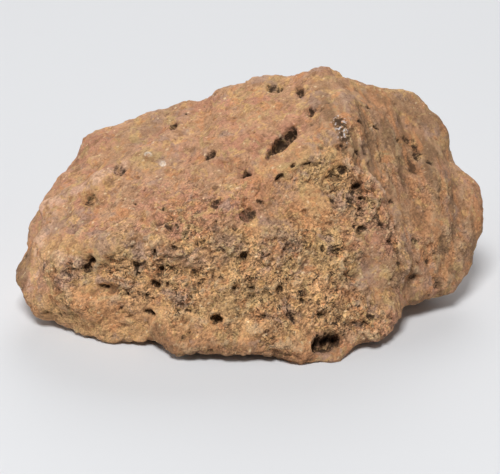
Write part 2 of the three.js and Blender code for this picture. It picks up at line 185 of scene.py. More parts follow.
# %% Strokes of the relief
STROKES = [  # longitude, latitude, longitude, latitude in degrees, reach mm, height mm
    [5, 1, 1, -3, 6, 1.1],  # knob on the right end
    [9, 9, 7, 7, 6, -2.3],  # notch above it
    [-4, -13, -6, -14, 4, -0.6],  # step under it
    [-11, -19, -6, -14, 8, 1.8],  # bulge low on the right
    [-35, -20, -27, -20, 8.5, -1.7],  # undercut right of the toe
    [38, 55, 33, 53, 7, 0.4],  # the peak
    [46, 62, 48, 60, 6, -1.2],  # dip left of the peak
    [16, 38, 23, 48, 7, -1.6],  # dip right of the peak
    [19, 34, 16, 27, 8, -1.2],  # slack of the right shoulder
    [-169, -12, -167, -13, 5, 0.9],  # knob on the left end
    [-174, -7, -176, -6, 4, 0.9],  # swell over it
    [-178, -4, 176, 1, 7, 1],  # swell of the left cheek
    [174, 3, 174, 5, 6, -0.8],  # dent in the left brow
    [-61, -29, -56, -29, 5, 1.9],  # lip under the large hole
    [-54, -27, -52, -26, 5, -1.6],  # bite beside the lip
    [0, 49, -17, 40, 6, 0.7],  # ridge, top
    [-17, 40, -24, 19, 6, 0.6],  # ridge, upper half
    [-25, 15, -29, -7, 7, 0.6],  # ridge, lower half
    [-29, -8, -34, -19, 7, 1],  # ridge, foot
    [-39, -22, -44, -25, 6, 1.7],  # corner of the toe
    [4, 37, -9, 27, 8, -0.5],  # valley behind the ridge, upper half
    [-12, 20, -19, 1, 8, -0.6],  # valley behind the ridge, lower half
    [-24, -9, -27, -16, 8, -1.2],  # hollow behind the ridge foot
    [5, 24, 0, 20, 7, -1],  # hollow high on the right side
    [1, 11, -9, -3, 9, 1.2],  # swell of the right side
    [-73, 36, -42, 41, 6, 0.6],  # shoulder rib, left half
    [-42, 41, -28, 30, 5, 0.7],  # shoulder rib, right half
    [-64, 25, -38, 25, 9, -0.9],  # scallop under the shoulder
    [-75, 58, -19, 59, 7, -1],  # furrow of the long vug
    [-180, 4, -175, 15, 7, 0.4],  # brow rib, left half
    [-175, 15, -179, 30, 7, 0.7],  # brow rib, right half
    [172, 13, 167, 28, 9, -0.7],  # slack behind the brow rib
    [162, 9, 157, 16, 8, -1.2],  # slack of the back left shoulder
    [58, 59, 72, 56, 6, -0.8],  # dip of the crest
    [-167, 26, -117, 32, 9, -0.7],  # furrow across the top face
    [-163, -6, -145, 1, 6, 0.9],  # crease lip, left third
    [-145, 1, -120, 2, 6, 0.7],  # crease lip, middle third
    [-120, 2, -87, 5, 6, 0.7],  # crease lip, right third
    [-147, -5, -142, -12, 7, -1.2],  # broken hollow, left
    [-131, -10, -118, -12, 8, -0.7],  # broken hollow, middle
    [-105, -7, -85, -11, 8, -1],  # broken hollow, right
    [-73, -12, -50, -6, 10, 1.2],  # swell of the front
    [-53, 7, -40, 12, 9, -1.1],  # dish of the front
    [-156, -15, -144, -15, 5, 0.9],  # ledge, left
    [-144, -18, -143, -19, 4.5, 1.3],  # knob on the ledge
    [-151, -21, -139, -25, 5, -0.9],  # groove under the ledge, left
    [-133, -27, -127, -28, 5, -2.4],  # bite in the front foot
    [-120, -27, -111, -29, 6, 1],  # knob on the front foot
    [-107, -23, -90, -26, 7, -0.9],  # groove under the ledge, right
    [-83, -27, -71, -27, 7, 0.8],  # swell of the front foot
    [-161, -17, -160, -20, 5, 1.4],  # heel under the left knob
    [-154, -25, -152, -26, 5, -0.8],  # slack behind the heel
    [-152, -9, -150, -12, 5, 1],  # knob left of the broken hollow
    [60, 20, 95, 30, 12, 1.8],  # back, high swell
    [115, 10, 140, 25, 12, -1.8],  # back, broad hollow
    [80, -10, 110, -15, 12, 1.6],  # back, low swell
    [45, -5, 60, 10, 10, -1.8],  # back, right hollow
    [130, -15, 150, -20, 9, 1.5],  # back, left swell
    [28, -25, 40, -15, 9, -1.6],  # back, right undercut
    [100, 45, 140, 50, 11, -1.2],  # back of the crest, hollow
    [70, 55, 75, 40, 8, 1],  # back of the crest, rib
    [160, -20, 175, -30, 8, -1.5],  # left undercut
    [95, 5, 118, -8, 8, -1.4],  # back, scar between the swells
    [20, 0, 30, 18, 9, 1.2],  # back, right rib
    [35, 38, 50, 25, 9, -1.3],  # back, right scar
    [140, 0, 165, 10, 9, 1.1],  # back, left rib
    [-140, -43, -126, -44, 6, -2.2],  # gap under the front foot, left
    [-112, -46, -80, -45, 7, -3.2],  # gap under the front foot, right
    [-20, -38, 15, -36, 9, -2.8],  # gap under the right end
    [-178, -34, -162, -38, 8, -2.2],  # gap under the left end
    [70, -38, 110, -40, 8, -2],  # gap under the back
    [-120, -70, 60, -70, 16, 1.2],  # swell of the underside, cut flat where it rests
    [159, 14, 160, 18, 5, 1.1],  # corner of the back left shoulder
    [171, 9, 174, 11, 5, -1.1],  # dip under that corner
    [-166, -4, -175, 1, 3.6, 1.3],  # crest rib, up the left end
    [-175, 1, -172, 13, 3.6, 1.2],  # crest rib, over the brow
    [-172, 13, -178, 29, 3.6, 1],  # crest rib, lower middle
    [-178, 29, 148, 45, 4, 0.6],  # crest rib, upper middle
    [178, 10, 162, 31, 5, -0.9],  # slack behind the crest rib, lower
    [162, 31, 142, 43, 5, -0.6],  # slack behind the crest rib, upper
    [132, 48, 128, 46, 4, -0.8],  # notch in the crest
    [130, 50, -161, 55, 4, -0.5],  # crease from the notch down the top face
    [120, 56, -150, 61, 5, 0.5],  # swell beside the crease
    [-165, -6, -162, -13, 4, 0.8],  # rib down the left end
    [-163, -16, -161, -18, 5, -0.6],  # slack under the left knob
    [-161, -20, -141, -26, 5, 0.8],  # swell of the lower left edge
    [-135, -27, -127, -28, 5, 1.8],  # lip of the bite in the front foot
    [-136, -34, -127, -35, 5.5, -4.6],  # undercut of that lip
    [-112, -28, -73, -28, 5.5, 2.6],  # lip of the front foot
    [-111, -36, -75, -36, 6, -4.2],  # undercut of that lip
    [-112, -25, -98, -25, 9, 1.7],  # swell over the same lip
    [-167, -12, -165, -13, 3, 0.8],  # knob behind the left rib
    [-161, -9, -160, -13, 3.4, -1.2],  # slack between the rib and the knob
    [-21, -23, -14, -21, 5, 1.7],  # low corner of the right end
    [2, -3, 0, -7, 4, 1.1],  # lower half of the right knob
    [-1, -9, -6, -15, 6, 1.2],  # right end under the knob
    [14, 18, 12, 13, 6, 1.1],  # corner of the right shoulder
    [128, 46, 152, 22, 6, -0.8],  # slack of the back crest
    [-149, -26, -143, -28, 5, -0.3],  # dent left of the bite in the front foot
    [-119, -29, -96, -30, 5, 0.7],  # fuller lip of the front foot
    [8, 4, 6, 2, 4, 0.6],  # upper corner of the right knob
    [163, 11, 168, 7, 4, -0.8],  # dent in the back left shoulder
]
WAVES = [[19, 0.3], [9.5, 0.4], [5.5, 0.25]]  # wavelength and height, mm
SCALLOP, SCALLOP_DEPTH, MEAN_CELL_DISTANCE = 8.5, 0.6, 0.55
SEED_WAVES, SEED_SCALLOPS = 11, 5


def laid(strokes, points):
    """Sum of the strokes over the points: each adds height (1 - q^2)^2, where q is the distance from
    the straight line between the hull points of its two ends, divided by its reach."""
    total = np.zeros(len(points))
    for lon_a, lat_a, lon_b, lat_b, reach, height in strokes:
        start, end = hull_points(directions(np.array([lon_a, lon_b]), np.array([lat_a, lat_b])))
        line = end - start
        t = np.clip((points - start) @ line / max(line @ line, 1e-9), 0, 1)
        q2 = ((points - start - t[:, None] * line) ** 2).sum(1) / reach**2
        total += height * np.clip(1 - q2, 0, None) ** 2
    return total


def relief(p):
    """Height over the hull points p: strokes, waves of random height and shallow round scallops."""
    h = laid(STROKES, p)
    for n, (length, height) in enumerate(WAVES):
        h += height * smooth_noise(p / length, SEED_WAVES + n)
    return h + SCALLOP_DEPTH * (cell_distances(p / SCALLOP, SEED_SCALLOPS)[0] - MEAN_CELL_DISTANCE)


def skin(u):
    """Point of the stone's skin along each unit vector: the hull point moved out by the relief, and
    stopped at z = 0, the plane that the stone rests on."""
    base = hull_points(u)
    reach = np.linalg.norm(base - HEART, axis=1) + relief(base)
    floor = np.where(u[:, 2] < 0, -HEART[2] / np.minimum(u[:, 2], -1e-9), np.inf)
    return HEART + u * np.minimum(reach, floor)[:, None]


print("strokes:", len(STROKES))

# %% [markdown]
# ## A net over the whole stone
# A globe's net crowds at its poles. A cube's six sides, each a grid of equal angles blown up onto
# the globe, give nearly square meshes everywhere and no pole. The grid is the solid's, only finer,
# and pulled a little to the front and the top, where the small crumbs are.

# %% The net of directions
SQUARES = 128  # along each edge of a side: 6 x 128 x 128 squares, just under 200,000 triangles
PULL = 0.22 * directions(-90, 35)  # shift that crowds the net towards the front and the top


def cube_net(n):
    """Six n by n grids of two parameters on the sides of a cube of n units. Points on shared edges
    are kept once. Gives the points, the four corners of each square and each corner's place on
    the flat picture of the six sides, laid out three by two."""
    a, b = np.meshgrid(np.arange(n + 1), np.arange(n + 1), indexing="ij")
    none, full = np.zeros_like(a), np.full_like(a, n)
    sides = [(full, a, b), (none, b, a), (b, full, a), (a, none, b), (a, b, full), (b, a, none)]
    sides = np.stack([np.stack(side, -1) for side in sides])
    key = sides @ np.array([(n + 1) ** 2, n + 1, 1])
    _, first, place = np.unique(key, return_index=True, return_inverse=True)

    def around(grid):
        """The four corners of each square, in turn."""
        return np.stack([grid[:, :-1, :-1], grid[:, 1:, :-1], grid[:, 1:, 1:], grid[:, :-1, 1:]], 3)

    edge = 0.02  # bare strip round each side of the flat picture, as a share of the side
    column, row = np.arange(6) % 3, np.arange(6) // 3
    flat = np.stack([np.broadcast_to(a, key.shape), np.broadcast_to(b, key.shape)], -1) / n
    flat = edge + (1 - 2 * edge) * flat + np.stack([column, row], -1)[:, None, None]
    squares = around(place.reshape(key.shape)).reshape(-1, 4)
    return sides.reshape(-1, 3)[first], squares, around(flat / [3, 2]).reshape(-1, 2)


lattice, squares, flat_places = cube_net(SQUARES)
net = np.tan((2 * lattice / SQUARES - 1) * np.pi / 4)
net /= np.linalg.norm(net, axis=1, keepdims=True)
net = net + PULL
net /= np.linalg.norm(net, axis=1, keepdims=True)
print("points:", len(net), "squares:", len(squares))

# %% [markdown]
# ## The bare skin, brought to size
# The skin is worked out along every direction of the net, then scaled and centred so that it fills
# the solid's box exactly, as the solid itself was.

# %% The bare skin
rough = skin(net)
middle = (rough.min(0) + rough.max(0)) / 2 * [1, 1, 0]
scale = np.array([LENGTH, DEPTH, HEIGHT]) / np.append(np.ptp(rough[:, :2], axis=0), rough[:, 2].max())
centre = np.array([*(LOW + HIGH)[:2] / 2, LOW[2]])


def to_size(points):
    """The scale and the shift that bring the skin to the solid's box."""
    return (points - middle) * scale + centre


def vertex_normals(points):
    """Outward unit normal at each point: the sum of the cross products of the diagonals of the
    squares that meet there."""
    p = points[squares]
    face = np.cross(p[:, 2] - p[:, 0], p[:, 3] - p[:, 1])
    total = [np.bincount(squares.ravel(), np.repeat(axis, 4), len(points)) for axis in face.T]
    total = np.stack(total, -1)
    return total / np.linalg.norm(total, axis=1, keepdims=True)


bare = to_size(rough)
outward = vertex_normals(bare)
base = hull_points(net)
print("bare skin from", bare.min(0).round(2), "to", bare.max(0).round(2))

# %% [markdown]
# ## Where the stone is broken and where it is worn
# The front broke and crumbles grain by grain, while the top was rubbed smooth. Paint strokes
# like the relief's, with a strength in place of a height, mark how crumbly each place is. A noise
# breaks the painted parts up into firm and crumbly patches.

# %% The crumbly parts
CRUMBLY = [  # two ends, reach mm, strength
    [-148, -10, -112, -13, 8, 0.66],
    [-157, -8, -142, -7, 5, 0.5],  # left half of the front, under the crease
    [-112, -9, -62, -11, 12, 0.88],  # middle of the front
    [-60, 2, -40, -4, 10, 0.7],  # right of the front
    [-75, -16, -50, -18, 8, 0.8],  # over the toe
    [-34, 34, -29, 14, 6, 0.7],  # under the shoulder rib
    [-32, 14, -30, -14, 7, 0.42],  # down the ridge
    [-8, 35, -12, -10, 14, 0.4],  # right side
    [-130, 6, -70, 12, 12, 0.22],  # over the crease
    [-155, 6, -110, 18, 12, 0.32],  # low on the top face
    [-90, -25, -42, -23, 6, 0.55],  # toe
    [-152, -20, -80, -28, 8, 0.32],  # lower band
    [-62, 24, -50, 16, 9, -0.1],  # firm middle of the dish
    [-66, 31, -46, 34, 4, 0.3],  # crumbs along the groove under the shoulder
    [70, 10, 130, 0, 16, 0.7],  # back
]
FIRM_PATCHES = [[6, 0.55, 101], [2.8, 0.4, 102]]  # size mm, strength, seed
patchy = layered_noise(base, 0.9, FIRM_PATCHES)
crumbly = np.clip((laid(CRUMBLY, base) + 0.12) * patchy, 0, 1)
print("share that is crumbly:", (crumbly > 0.5).mean().round(2))

# %% [markdown]
# ## Where the stone is stained, and where light and shade are painted
# Iron in the stone rusted into zones of golden, grey, purple, olive and orange. Crests are paler, and
# two cream grains stand in the top face. Some strokes paint light and shade in place of a stain:
# painted shade darkens the left knob, the large hole, the lower band, the undercut of the front foot
# and parts of the right side, grey strokes on the left knob and the upper left crest are painted
# shade as well, and golden and pale strokes under the crease and low on the left of the front are
# painted light. The glint of one spot of bare metal is painted too. The same kind of paint strokes
# marks them all, and the material later mixes each colour in with a ragged edge.

# %% The stained parts
STAINS = {  # rows of longitude, latitude, longitude, latitude in degrees, reach mm, strength
    # golden stain; the two rows under the crease and the first row of the left half are painted light
    "golden": [[-140, 0, -112, -4, 5, 0.9], [-106, 3, -92, 5, 4, 0.6],  # under the crease
               [-155, -19, -130, -24, 7, 0.9], [-140, -12, -85, -14, 16, 1],  # left half of the front
               [-85, -10, -55, 0, 14, 0.8], [-66, -22, -45, -20, 7, 0.7],  # right half, toe
               [-34, 36, -38, 22, 8, 1], [-70, 45, -55, 50, 8, 0.5],  # shoulder
               [-168, 8, -171, 15, 4, 0.7], [-165, -6, -150, -3, 6, 0.6]],  # left end
    # grey stain; the upper left crest row and the left knob row are painted shade
    "grey_and_painted_shade": [[0, 40, -12, -14, 24, 0.7], [-46, -10, -36, -14, 8, 0.8],  # right side, ridge foot
               [162, 24, 146, 36, 5, 0.8], [-166, -10, -165, -13, 3.4, 1.4],  # crest, left knob
               [30, 30, 60, 0, 26, 0.8], [100, -30, 160, -20, 26, 0.6]],  # back
    "purpled": [[-170, 16, 155, 34, 14, 0.4], [-150, 36, -120, 40, 12, 0.3],  # top face
                [-165, -1, -161, 3, 4, 0.8], [-150, -6, -150, -8, 3, 0.9],  # left end
                [-143, 2, -143, 0, 2.5, 1.2], [-137, 3, -127, -1, 5, 0.5],  # crease
                [-106, -4, -103, -3, 3, 0.5], [-102, 4, -97, 2, 3.5, 1],  # middle of the front
                [-72, 7, -69, 1, 4, 1.1], [-82, -1, -78, 8, 3, 0.7], [-45, -9, -43, -12, 4, 0.9],
                [-20, -4, -23, -9, 3, 1], [5, 50, -8, 45, 3, 0.7],  # right side
                [80, 10, 100, 0, 12, 0.7]],  # back
    "olived": [[-54, -4, -49, -8, 6, 1.1], [-56, 0, -49, -1, 4, 0.8],  # right half of the front
               [-95, -16, -86, -17, 6, 0.7], [-130, 4, -127, 5, 3, 0.8], [-175, 27, -172, 26, 4, 0.8],
               [-32, 33, -35, 28, 5, 1], [-55, 40, -45, 38, 4, 0.8],  # shoulder
               [60, 64, 60, 65, 4, 0.9], [120, 20, 140, 0, 12, 0.6]],  # crest, back
    "rusted": [[-70, -28, -58, -29, 4, 1], [-55, -16, -49, -18, 3, 1],  # toe
               [-150, -16, -138, -20, 6, 0.8], [-120, -26, -76, -28, 5, 0.9],  # lower band
               [-90, 34, -78, 31, 7, 0.6], [-127, 16, -115, 12, 7, 0.6], [-60, 15, -57, 8, 5, 0.7],
               [-24, 31, -26, 24, 3, 1], [20, 35, 14, 34, 5, 0.8], [5, 21, 4, 19, 3, 1],  # right side
               [-10, 5, -15, -3, 3, 0.9], [1, -1, -1, -6, 4, 0.8],
               [40, 10, 60, 30, 12, 0.7]],  # back
    # paler crests; the two rows under the crease are painted light on a face turned down
    "pale_and_painted_light": [[-124, -1, -112, -4, 4, 0.6], [-154, -4, -149, -6, 3, 0.6],  # under the crease
                 [-166, -4, -175, 1, 2.6, 1.1], [-175, 1, -172, 13, 2.6, 1],  # left crest
                 [-172, 13, -174, 20, 2, 0.7], [-163, -5, -160, -14, 1.6, 1],
                 [-27, 31, -20, 14, 1.5, 0.8], [-20, 14, -28, -16, 1.5, 0.7],  # ridge
                 [-16, 34, -15, 27, 2, 0.9], [-21, -6, -23, -8, 2, 0.9]],
    "cream": [[-175, 29, -175, 29, 0.9, 1.6], [-168, 30, -168, 30, 0.9, 1.6]],
    # painted shade, not a stain: these places are darker because they get less light
    "shaded": [[-167, -9, -164, -13, 3.2, 2], [-64, -26, -61, -26, 2.6, 1.2],  # left knob, large hole
               [-122, -22, -75, -22, 6, 0.14], [-121, -29, -82, -31, 6, 0.9],  # lower band, undercut
               [4, 24, -3, 15, 5, 0.5], [16, 30, 14, 12, 5, 0.6]],  # right side
    # spot of bare metal; its black grains are real, its silver glint is painted
    "glinting": [[-14, 47, -21, 40, 1.6, 1.4]],
}
stains = {name: np.clip(laid(rows, base), 0, 1) for name, rows in STAINS.items()}
shares = {name: float((mask > 0.5).mean().round(2)) for name, mask in stains.items()}
print("shares of the stains:", shares)

# %% [markdown]
# ## The lie of the grain
# The grains are not quite round: the old pressure drew them out, one way over the front and the top
# and down the slope on the right side. So the patterns below are not read at the point itself but at
# a place squeezed along the grain, which draws the pattern out along it.

# %% Places squeezed along the grain
FRONT_GRAIN, FRONT_SQUEEZE = (0.8, 0.3, 0.5), 0.22  # way of the grain and share taken away
SIDE_GRAIN, SIDE_SQUEEZE = (0.27, -0.6, -0.8), 0.5
RIGHT_SIDE = [[-2, 35, -13, -14, 19, 1.4]]  # a paint stroke: two ends, reach mm, strength


def squeezed(points, way, share):
    """The points p - share (p . way) way, for the unit vector along way."""
    way = np.array(way) / np.linalg.norm(way)
    return points - share * (points @ way)[:, None] * way


front_place = squeezed(bare, FRONT_GRAIN, FRONT_SQUEEZE)
side_place = squeezed(bare, SIDE_GRAIN, SIDE_SQUEEZE)
on_side = ramp(laid(RIGHT_SIDE, base), 0.3, 0.7)
print("share on the right side:", on_side.mean().round(2))

# %% [markdown]
# ## Folds and long cracks
# A few small folds and cracks catch the eye: the step that arches under the shoulder, the furrow that
# runs into a pit, the cracks beside the large hole. They are strokes again, narrower than the solid's
# net could hold, so they are only on this finer skin. A wobble of the points keeps them from running
# straight.

# %% Folds and cracks
FOLDS = [  # longitude, latitude, longitude, latitude, reach mm, height mm
    [-70, 30, -60, 33, 4, -0.3], [-60, 33, -46, 34, 4, -0.3],  # groove under the shoulder rib
    [-46, 34, -35, 28, 4, -0.5], [-35, 28, -30, 16, 3.4, -0.8],
    [-145, 53, -122, 52, 2.6, -0.7], [-122, 52, -96, 46, 2.6, -1],  # furrow into a pit of the top face
    [-27, 31, -20, 14, 1.8, 0.6], [-20, 14, -25, -4, 1.8, 0.5],  # pale rib of the ridge
    [-25, -4, -28, -16, 2, 0.6], [-24, -9, -21, -16, 1.6, 0.4],
    [-19, 27, -20, 10, 1.8, -0.6],  # slot behind it
    [-17, 12, -27, -2, 1.8, -0.5], [-8, 14, -15, -3, 1.8, -0.4],
    [12, 26, 3, 12, 2.2, -0.4], [2, 6, -8, -8, 2, -0.5],
    [-147, -13, -139, -14, 1.6, -0.9], [-139, -14, -128, -17, 1.6, -0.5],  # edge of the ledge
    [-150, -16, -138, -17, 3, 0.5],
    [-125, 10, -134, 10, 1.5, -0.5], [-118, 9, -104, 6, 2, -0.4], [-104, 6, -90, 4, 2, -0.4],
    [-115, 30, -106, 32, 2.5, 0.4], [-106, 32, -98, 24, 2.5, 0.4],  # ring round a shallow pit
    [-165, 30, -160, 44, 2.6, -0.5], [-168, 20, -160, 14, 2.4, -0.4], [-155, 20, -148, 30, 3, 0.5],
    [-150, 36, -140, 46, 3, 0.4], [165, 48, 150, 54, 3, -0.5], [100, 58, 80, 60, 3, 0.5],
    [-80, 52, -60, 55, 2.5, 0.4], [-40, 52, -25, 50, 2.5, 0.4], [20, 55, 10, 50, 2.5, -0.4],
]
CRACKS = [  # longitude, latitude, longitude, latitude, reach mm, depth mm
    [-89, 1, -85, 5, 0.5, 0.6], [-104, -8, -100, -6, 0.5, 0.6], [-85, -6, -80, -1, 0.6, 0.6],
    [-150, 7, -150, 10, 0.5, 0.5], [-137, -1, -134, 2, 0.5, 0.6], [-134, 10, -123, 9, 0.6, 0.6],
    [-75, -19, -71, -23, 0.6, 0.7], [-71, -23, -69, -26, 0.4, 0.5], [-82, -23, -80, -26, 0.4, 0.4],
    [-58, -19, -52, -21, 0.5, 0.6], [-76, -15, -70, -15, 0.5, 0.5], [-65, 38, -61, 39, 0.5, 0.6],
    [-96, 4, -90, 8, 0.5, 0.5], [-112, 2, -108, 6, 0.5, 0.5], [-120, -4, -117, 0, 0.5, 0.5],
    [-84, -11, -80, -7, 0.5, 0.5], [-94, -9, -91, -6, 0.5, 0.5], [-110, -14, -106, -11, 0.5, 0.5],
    [-66, -9, -62, -5, 0.5, 0.5], [-74, -6, -72, -1, 0.5, 0.5], [-141, -6, -139, -2, 0.5, 0.5],
    [-65, 36, -62, 37, 0.7, 0.6], [-51, 40, -48, 39, 0.7, 0.6], [-44, 37, -41, 37, 0.8, 0.6],  # shoulder
    [-26, 36, -24, 36, 0.6, 0.6], [-38, 14, -40, 11, 0.5, 0.6],
    [-30, 19, -28, 16, 0.7, 0.6], [-30, 14, -29, 11, 0.6, 0.6], [-33, 15, -33, 9, 0.5, 0.5],  # ridge
    [-36, 3, -35, -1, 0.8, 0.8], [-26, 6, -26, -2, 0.8, 0.9], [-30, -10, -27, -16, 0.6, 0.6],
    [-20, 18, -18, 9, 0.8, 0.8], [-17, 32, -17, 26, 0.6, 0.6], [-22, 0, -20, -3, 0.7, 0.6],  # right side
    [-29, -3, -28, -6, 0.6, 0.6], [5, 22, 4, 21, 1, 0.7], [-1, 17, -4, 13, 1.1, 0.9],
    [-9, 6, -14, -3, 0.5, 0.4],
]
WOBBLE = 0.7  # mm
wobble = WOBBLE * np.stack([smooth_noise(base / 1.8, 91 + s) + smooth_noise(base / 4.5, 95 + s)
                            for s in range(3)], -1)
folded = laid(FOLDS, base + wobble)
split = laid(CRACKS, base + wobble)
print("folds, mm:", folded.min().round(2), "to", folded.max().round(2), " cracks to", split.max().round(2))

# %% [markdown]
# ## Chips, cracks and grains
# Broken rock is a patchwork of small flat chips that meet in steps, crossed by short cracks. Chips
# cut from solid plates would be thousands of pieces. A net of random cells gives them at once: the
# height in each cell is a plane of its own tilt, so neighbours meet in a step.

# %% The small relief
FINE_WAVES = [[4.2, 0.22], [2.3, 0.2], [1.3, 0.17], [0.8, 0.14]]  # wavelength and height, mm
CHIPS = [[5.2, 0.15, 51], [2.6, 0.2, 57], [1.5, 0.3, 63]]  # size mm, slope, seed
SMOOTH_SHARE = 0.25  # share of the chips' height left on the worn faces
CRACK_LENGTH, CRACK_WIDTH, CRACK_DEPTH = 2.6, 0.06, 0.6  # mm, share of the length, mm
BEND = 0.2  # how far the outlines of the chips wander, as a share of their size
SUNK = 0.12  # all of it lies this deep in the bare skin, mm, so that its crests don't widen the stone


def chips(points, size, slope, seed):
    """Height of flat chips: the way from the nearest dot times a tilt that the dot's name picks."""
    _, name, way = cell_distances(points / size, seed)
    tilt = np.sin(name[:, None] * [127.1, 311.7, 74.7])
    return size * slope * (way * tilt).sum(1)


def cracks(points):
    """1 along the lines where a smooth noise changes sign, 0 elsewhere; a second noise leaves only
    short stretches of them."""
    line = 1 - ramp(np.abs(smooth_noise(points / CRACK_LENGTH, 41)), 0, CRACK_WIDTH * 2)
    return line * ramp(smooth_noise(points / (CRACK_LENGTH * 0.6), 42), 0.1, 0.35)


def small_relief(p, share):
    """Fine waves and three sizes of chips, scaled by the share of crumbliness."""
    h = 0
    for n, (length, height) in enumerate(FINE_WAVES):
        h = h + height * smooth_noise(p / length, 21 + n) * (0.4 + 0.6 * share)
    bend = np.stack([smooth_noise(p / 2.2, 71 + s) for s in range(3)], -1)
    for size, slope, seed in CHIPS:
        h = h + share * chips(p + BEND * size * bend, size, slope, seed)
    return h


share = SMOOTH_SHARE + (1 - SMOOTH_SHARE) * crumbly
cracked = np.maximum(cracks(front_place) * crumbly * (1 - on_side), np.clip(split * 1.8, 0, 1))
small = (1 - on_side) * small_relief(front_place, share) + on_side * small_relief(side_place, share)
small += folded - CRACK_DEPTH * cracked - SUNK
print("small relief, mm:", small.min().round(2), "to", small.max().round(2))

# %% [markdown]
# ## Pits and vugs
# Softer grains weathered out and left pits, the deepest a hole of over five millimetres in the toe.
# The solid has them cut out as lumpy ellipsoids. Here each pit pushes the skin inward instead, by
# the profile 1 - q^3 with steep walls, q being the distance from its middle in half-widths, so that
# the net stays whole.

# %% Pits
PITS = [  # longitude, latitude, length, width, depth mm, turn of the length from level in degrees
    [-27, 61, 4.8, 3.1, 2.8, 0], [-39, 61, 5, 3.3, 3.3, 8], [-56, 59, 4.2, 2.2, 2, 14],  # long vug
    [-93, 46, 2.2, 2, 2.2, 0], [-146, 53, 3, 1.9, 1.4, 90], [158, 40, 3.8, 2.2, 2.4, 10],  # top face
    [27, 62, 3.2, 1.7, 1.9, 140], [-1, 58, 2.6, 1.7, 1.6, 0], [57, 65, 3.6, 2.6, 1.3, 20],
    [-172, 18, 4, 2.2, 0.8, 20], [-166, 7, 3.4, 3, 1.2, 0], [-127, 9, 2.4, 1.3, 1, 160],  # top left
    [-110, 23, 3.2, 2.6, 1.2, 60], [-90, 17, 3.4, 2.6, 1.2, 10], [-65, 38, 1.9, 1, 0.9, 35],
    [-146, -5, 2.6, 2.2, 2.2, 90], [-147, -8, 2.2, 1.6, 1.8, 60], [-142, -13, 3, 1.2, 1.1, 0],  # front left
    [-150, -7, 2.4, 2.2, 0.8, 90], [-134, -6, 2.3, 1.4, 1.3, 110], [-128, -1, 2.3, 1.1, 1.2, 100],
    [-127, -13, 2.4, 1.6, 1.6, 150], [-127, -21, 2.2, 1.2, 1.3, 170],
    [-92, -3, 2.2, 1.7, 1.2, 60], [-89, -14, 1.9, 1, 1.3, 150], [-102, -22, 2.9, 1.7, 2.6, 170],  # front
    [-68, -17, 2.2, 1.3, 1.2, 130], [-74, -21, 2.6, 1.2, 1.3, 120],
    [-63, -26, 7, 3.6, 5.5, 10], [-49, -23, 2.1, 1.1, 1.3, 10],  # toe
    [-49, -3, 1.9, 1.1, 0.9, 0], [-29, 19, 2.5, 1.4, 1.4, 0], [-33, 14, 2, 1.3, 1, 140],  # by the ridge
    [-35, 3, 2.3, 1.2, 1.1, 145], [-28, 2, 2.5, 1, 1.2, 120], [-30, 29, 2.3, 2, 1.2, 120],
    [2, 17, 4.8, 1.9, 2.2, 25], [5, 20, 3, 2.4, 0.9, 120], [-20, 17, 3.2, 1.2, 1.1, 120],  # right side
    [-18, -6, 1.8, 1.4, 0.9, 100], [-30, -10, 2.1, 1.2, 1, 90], [-23, -16, 2.1, 1.5, 1, 90],
]
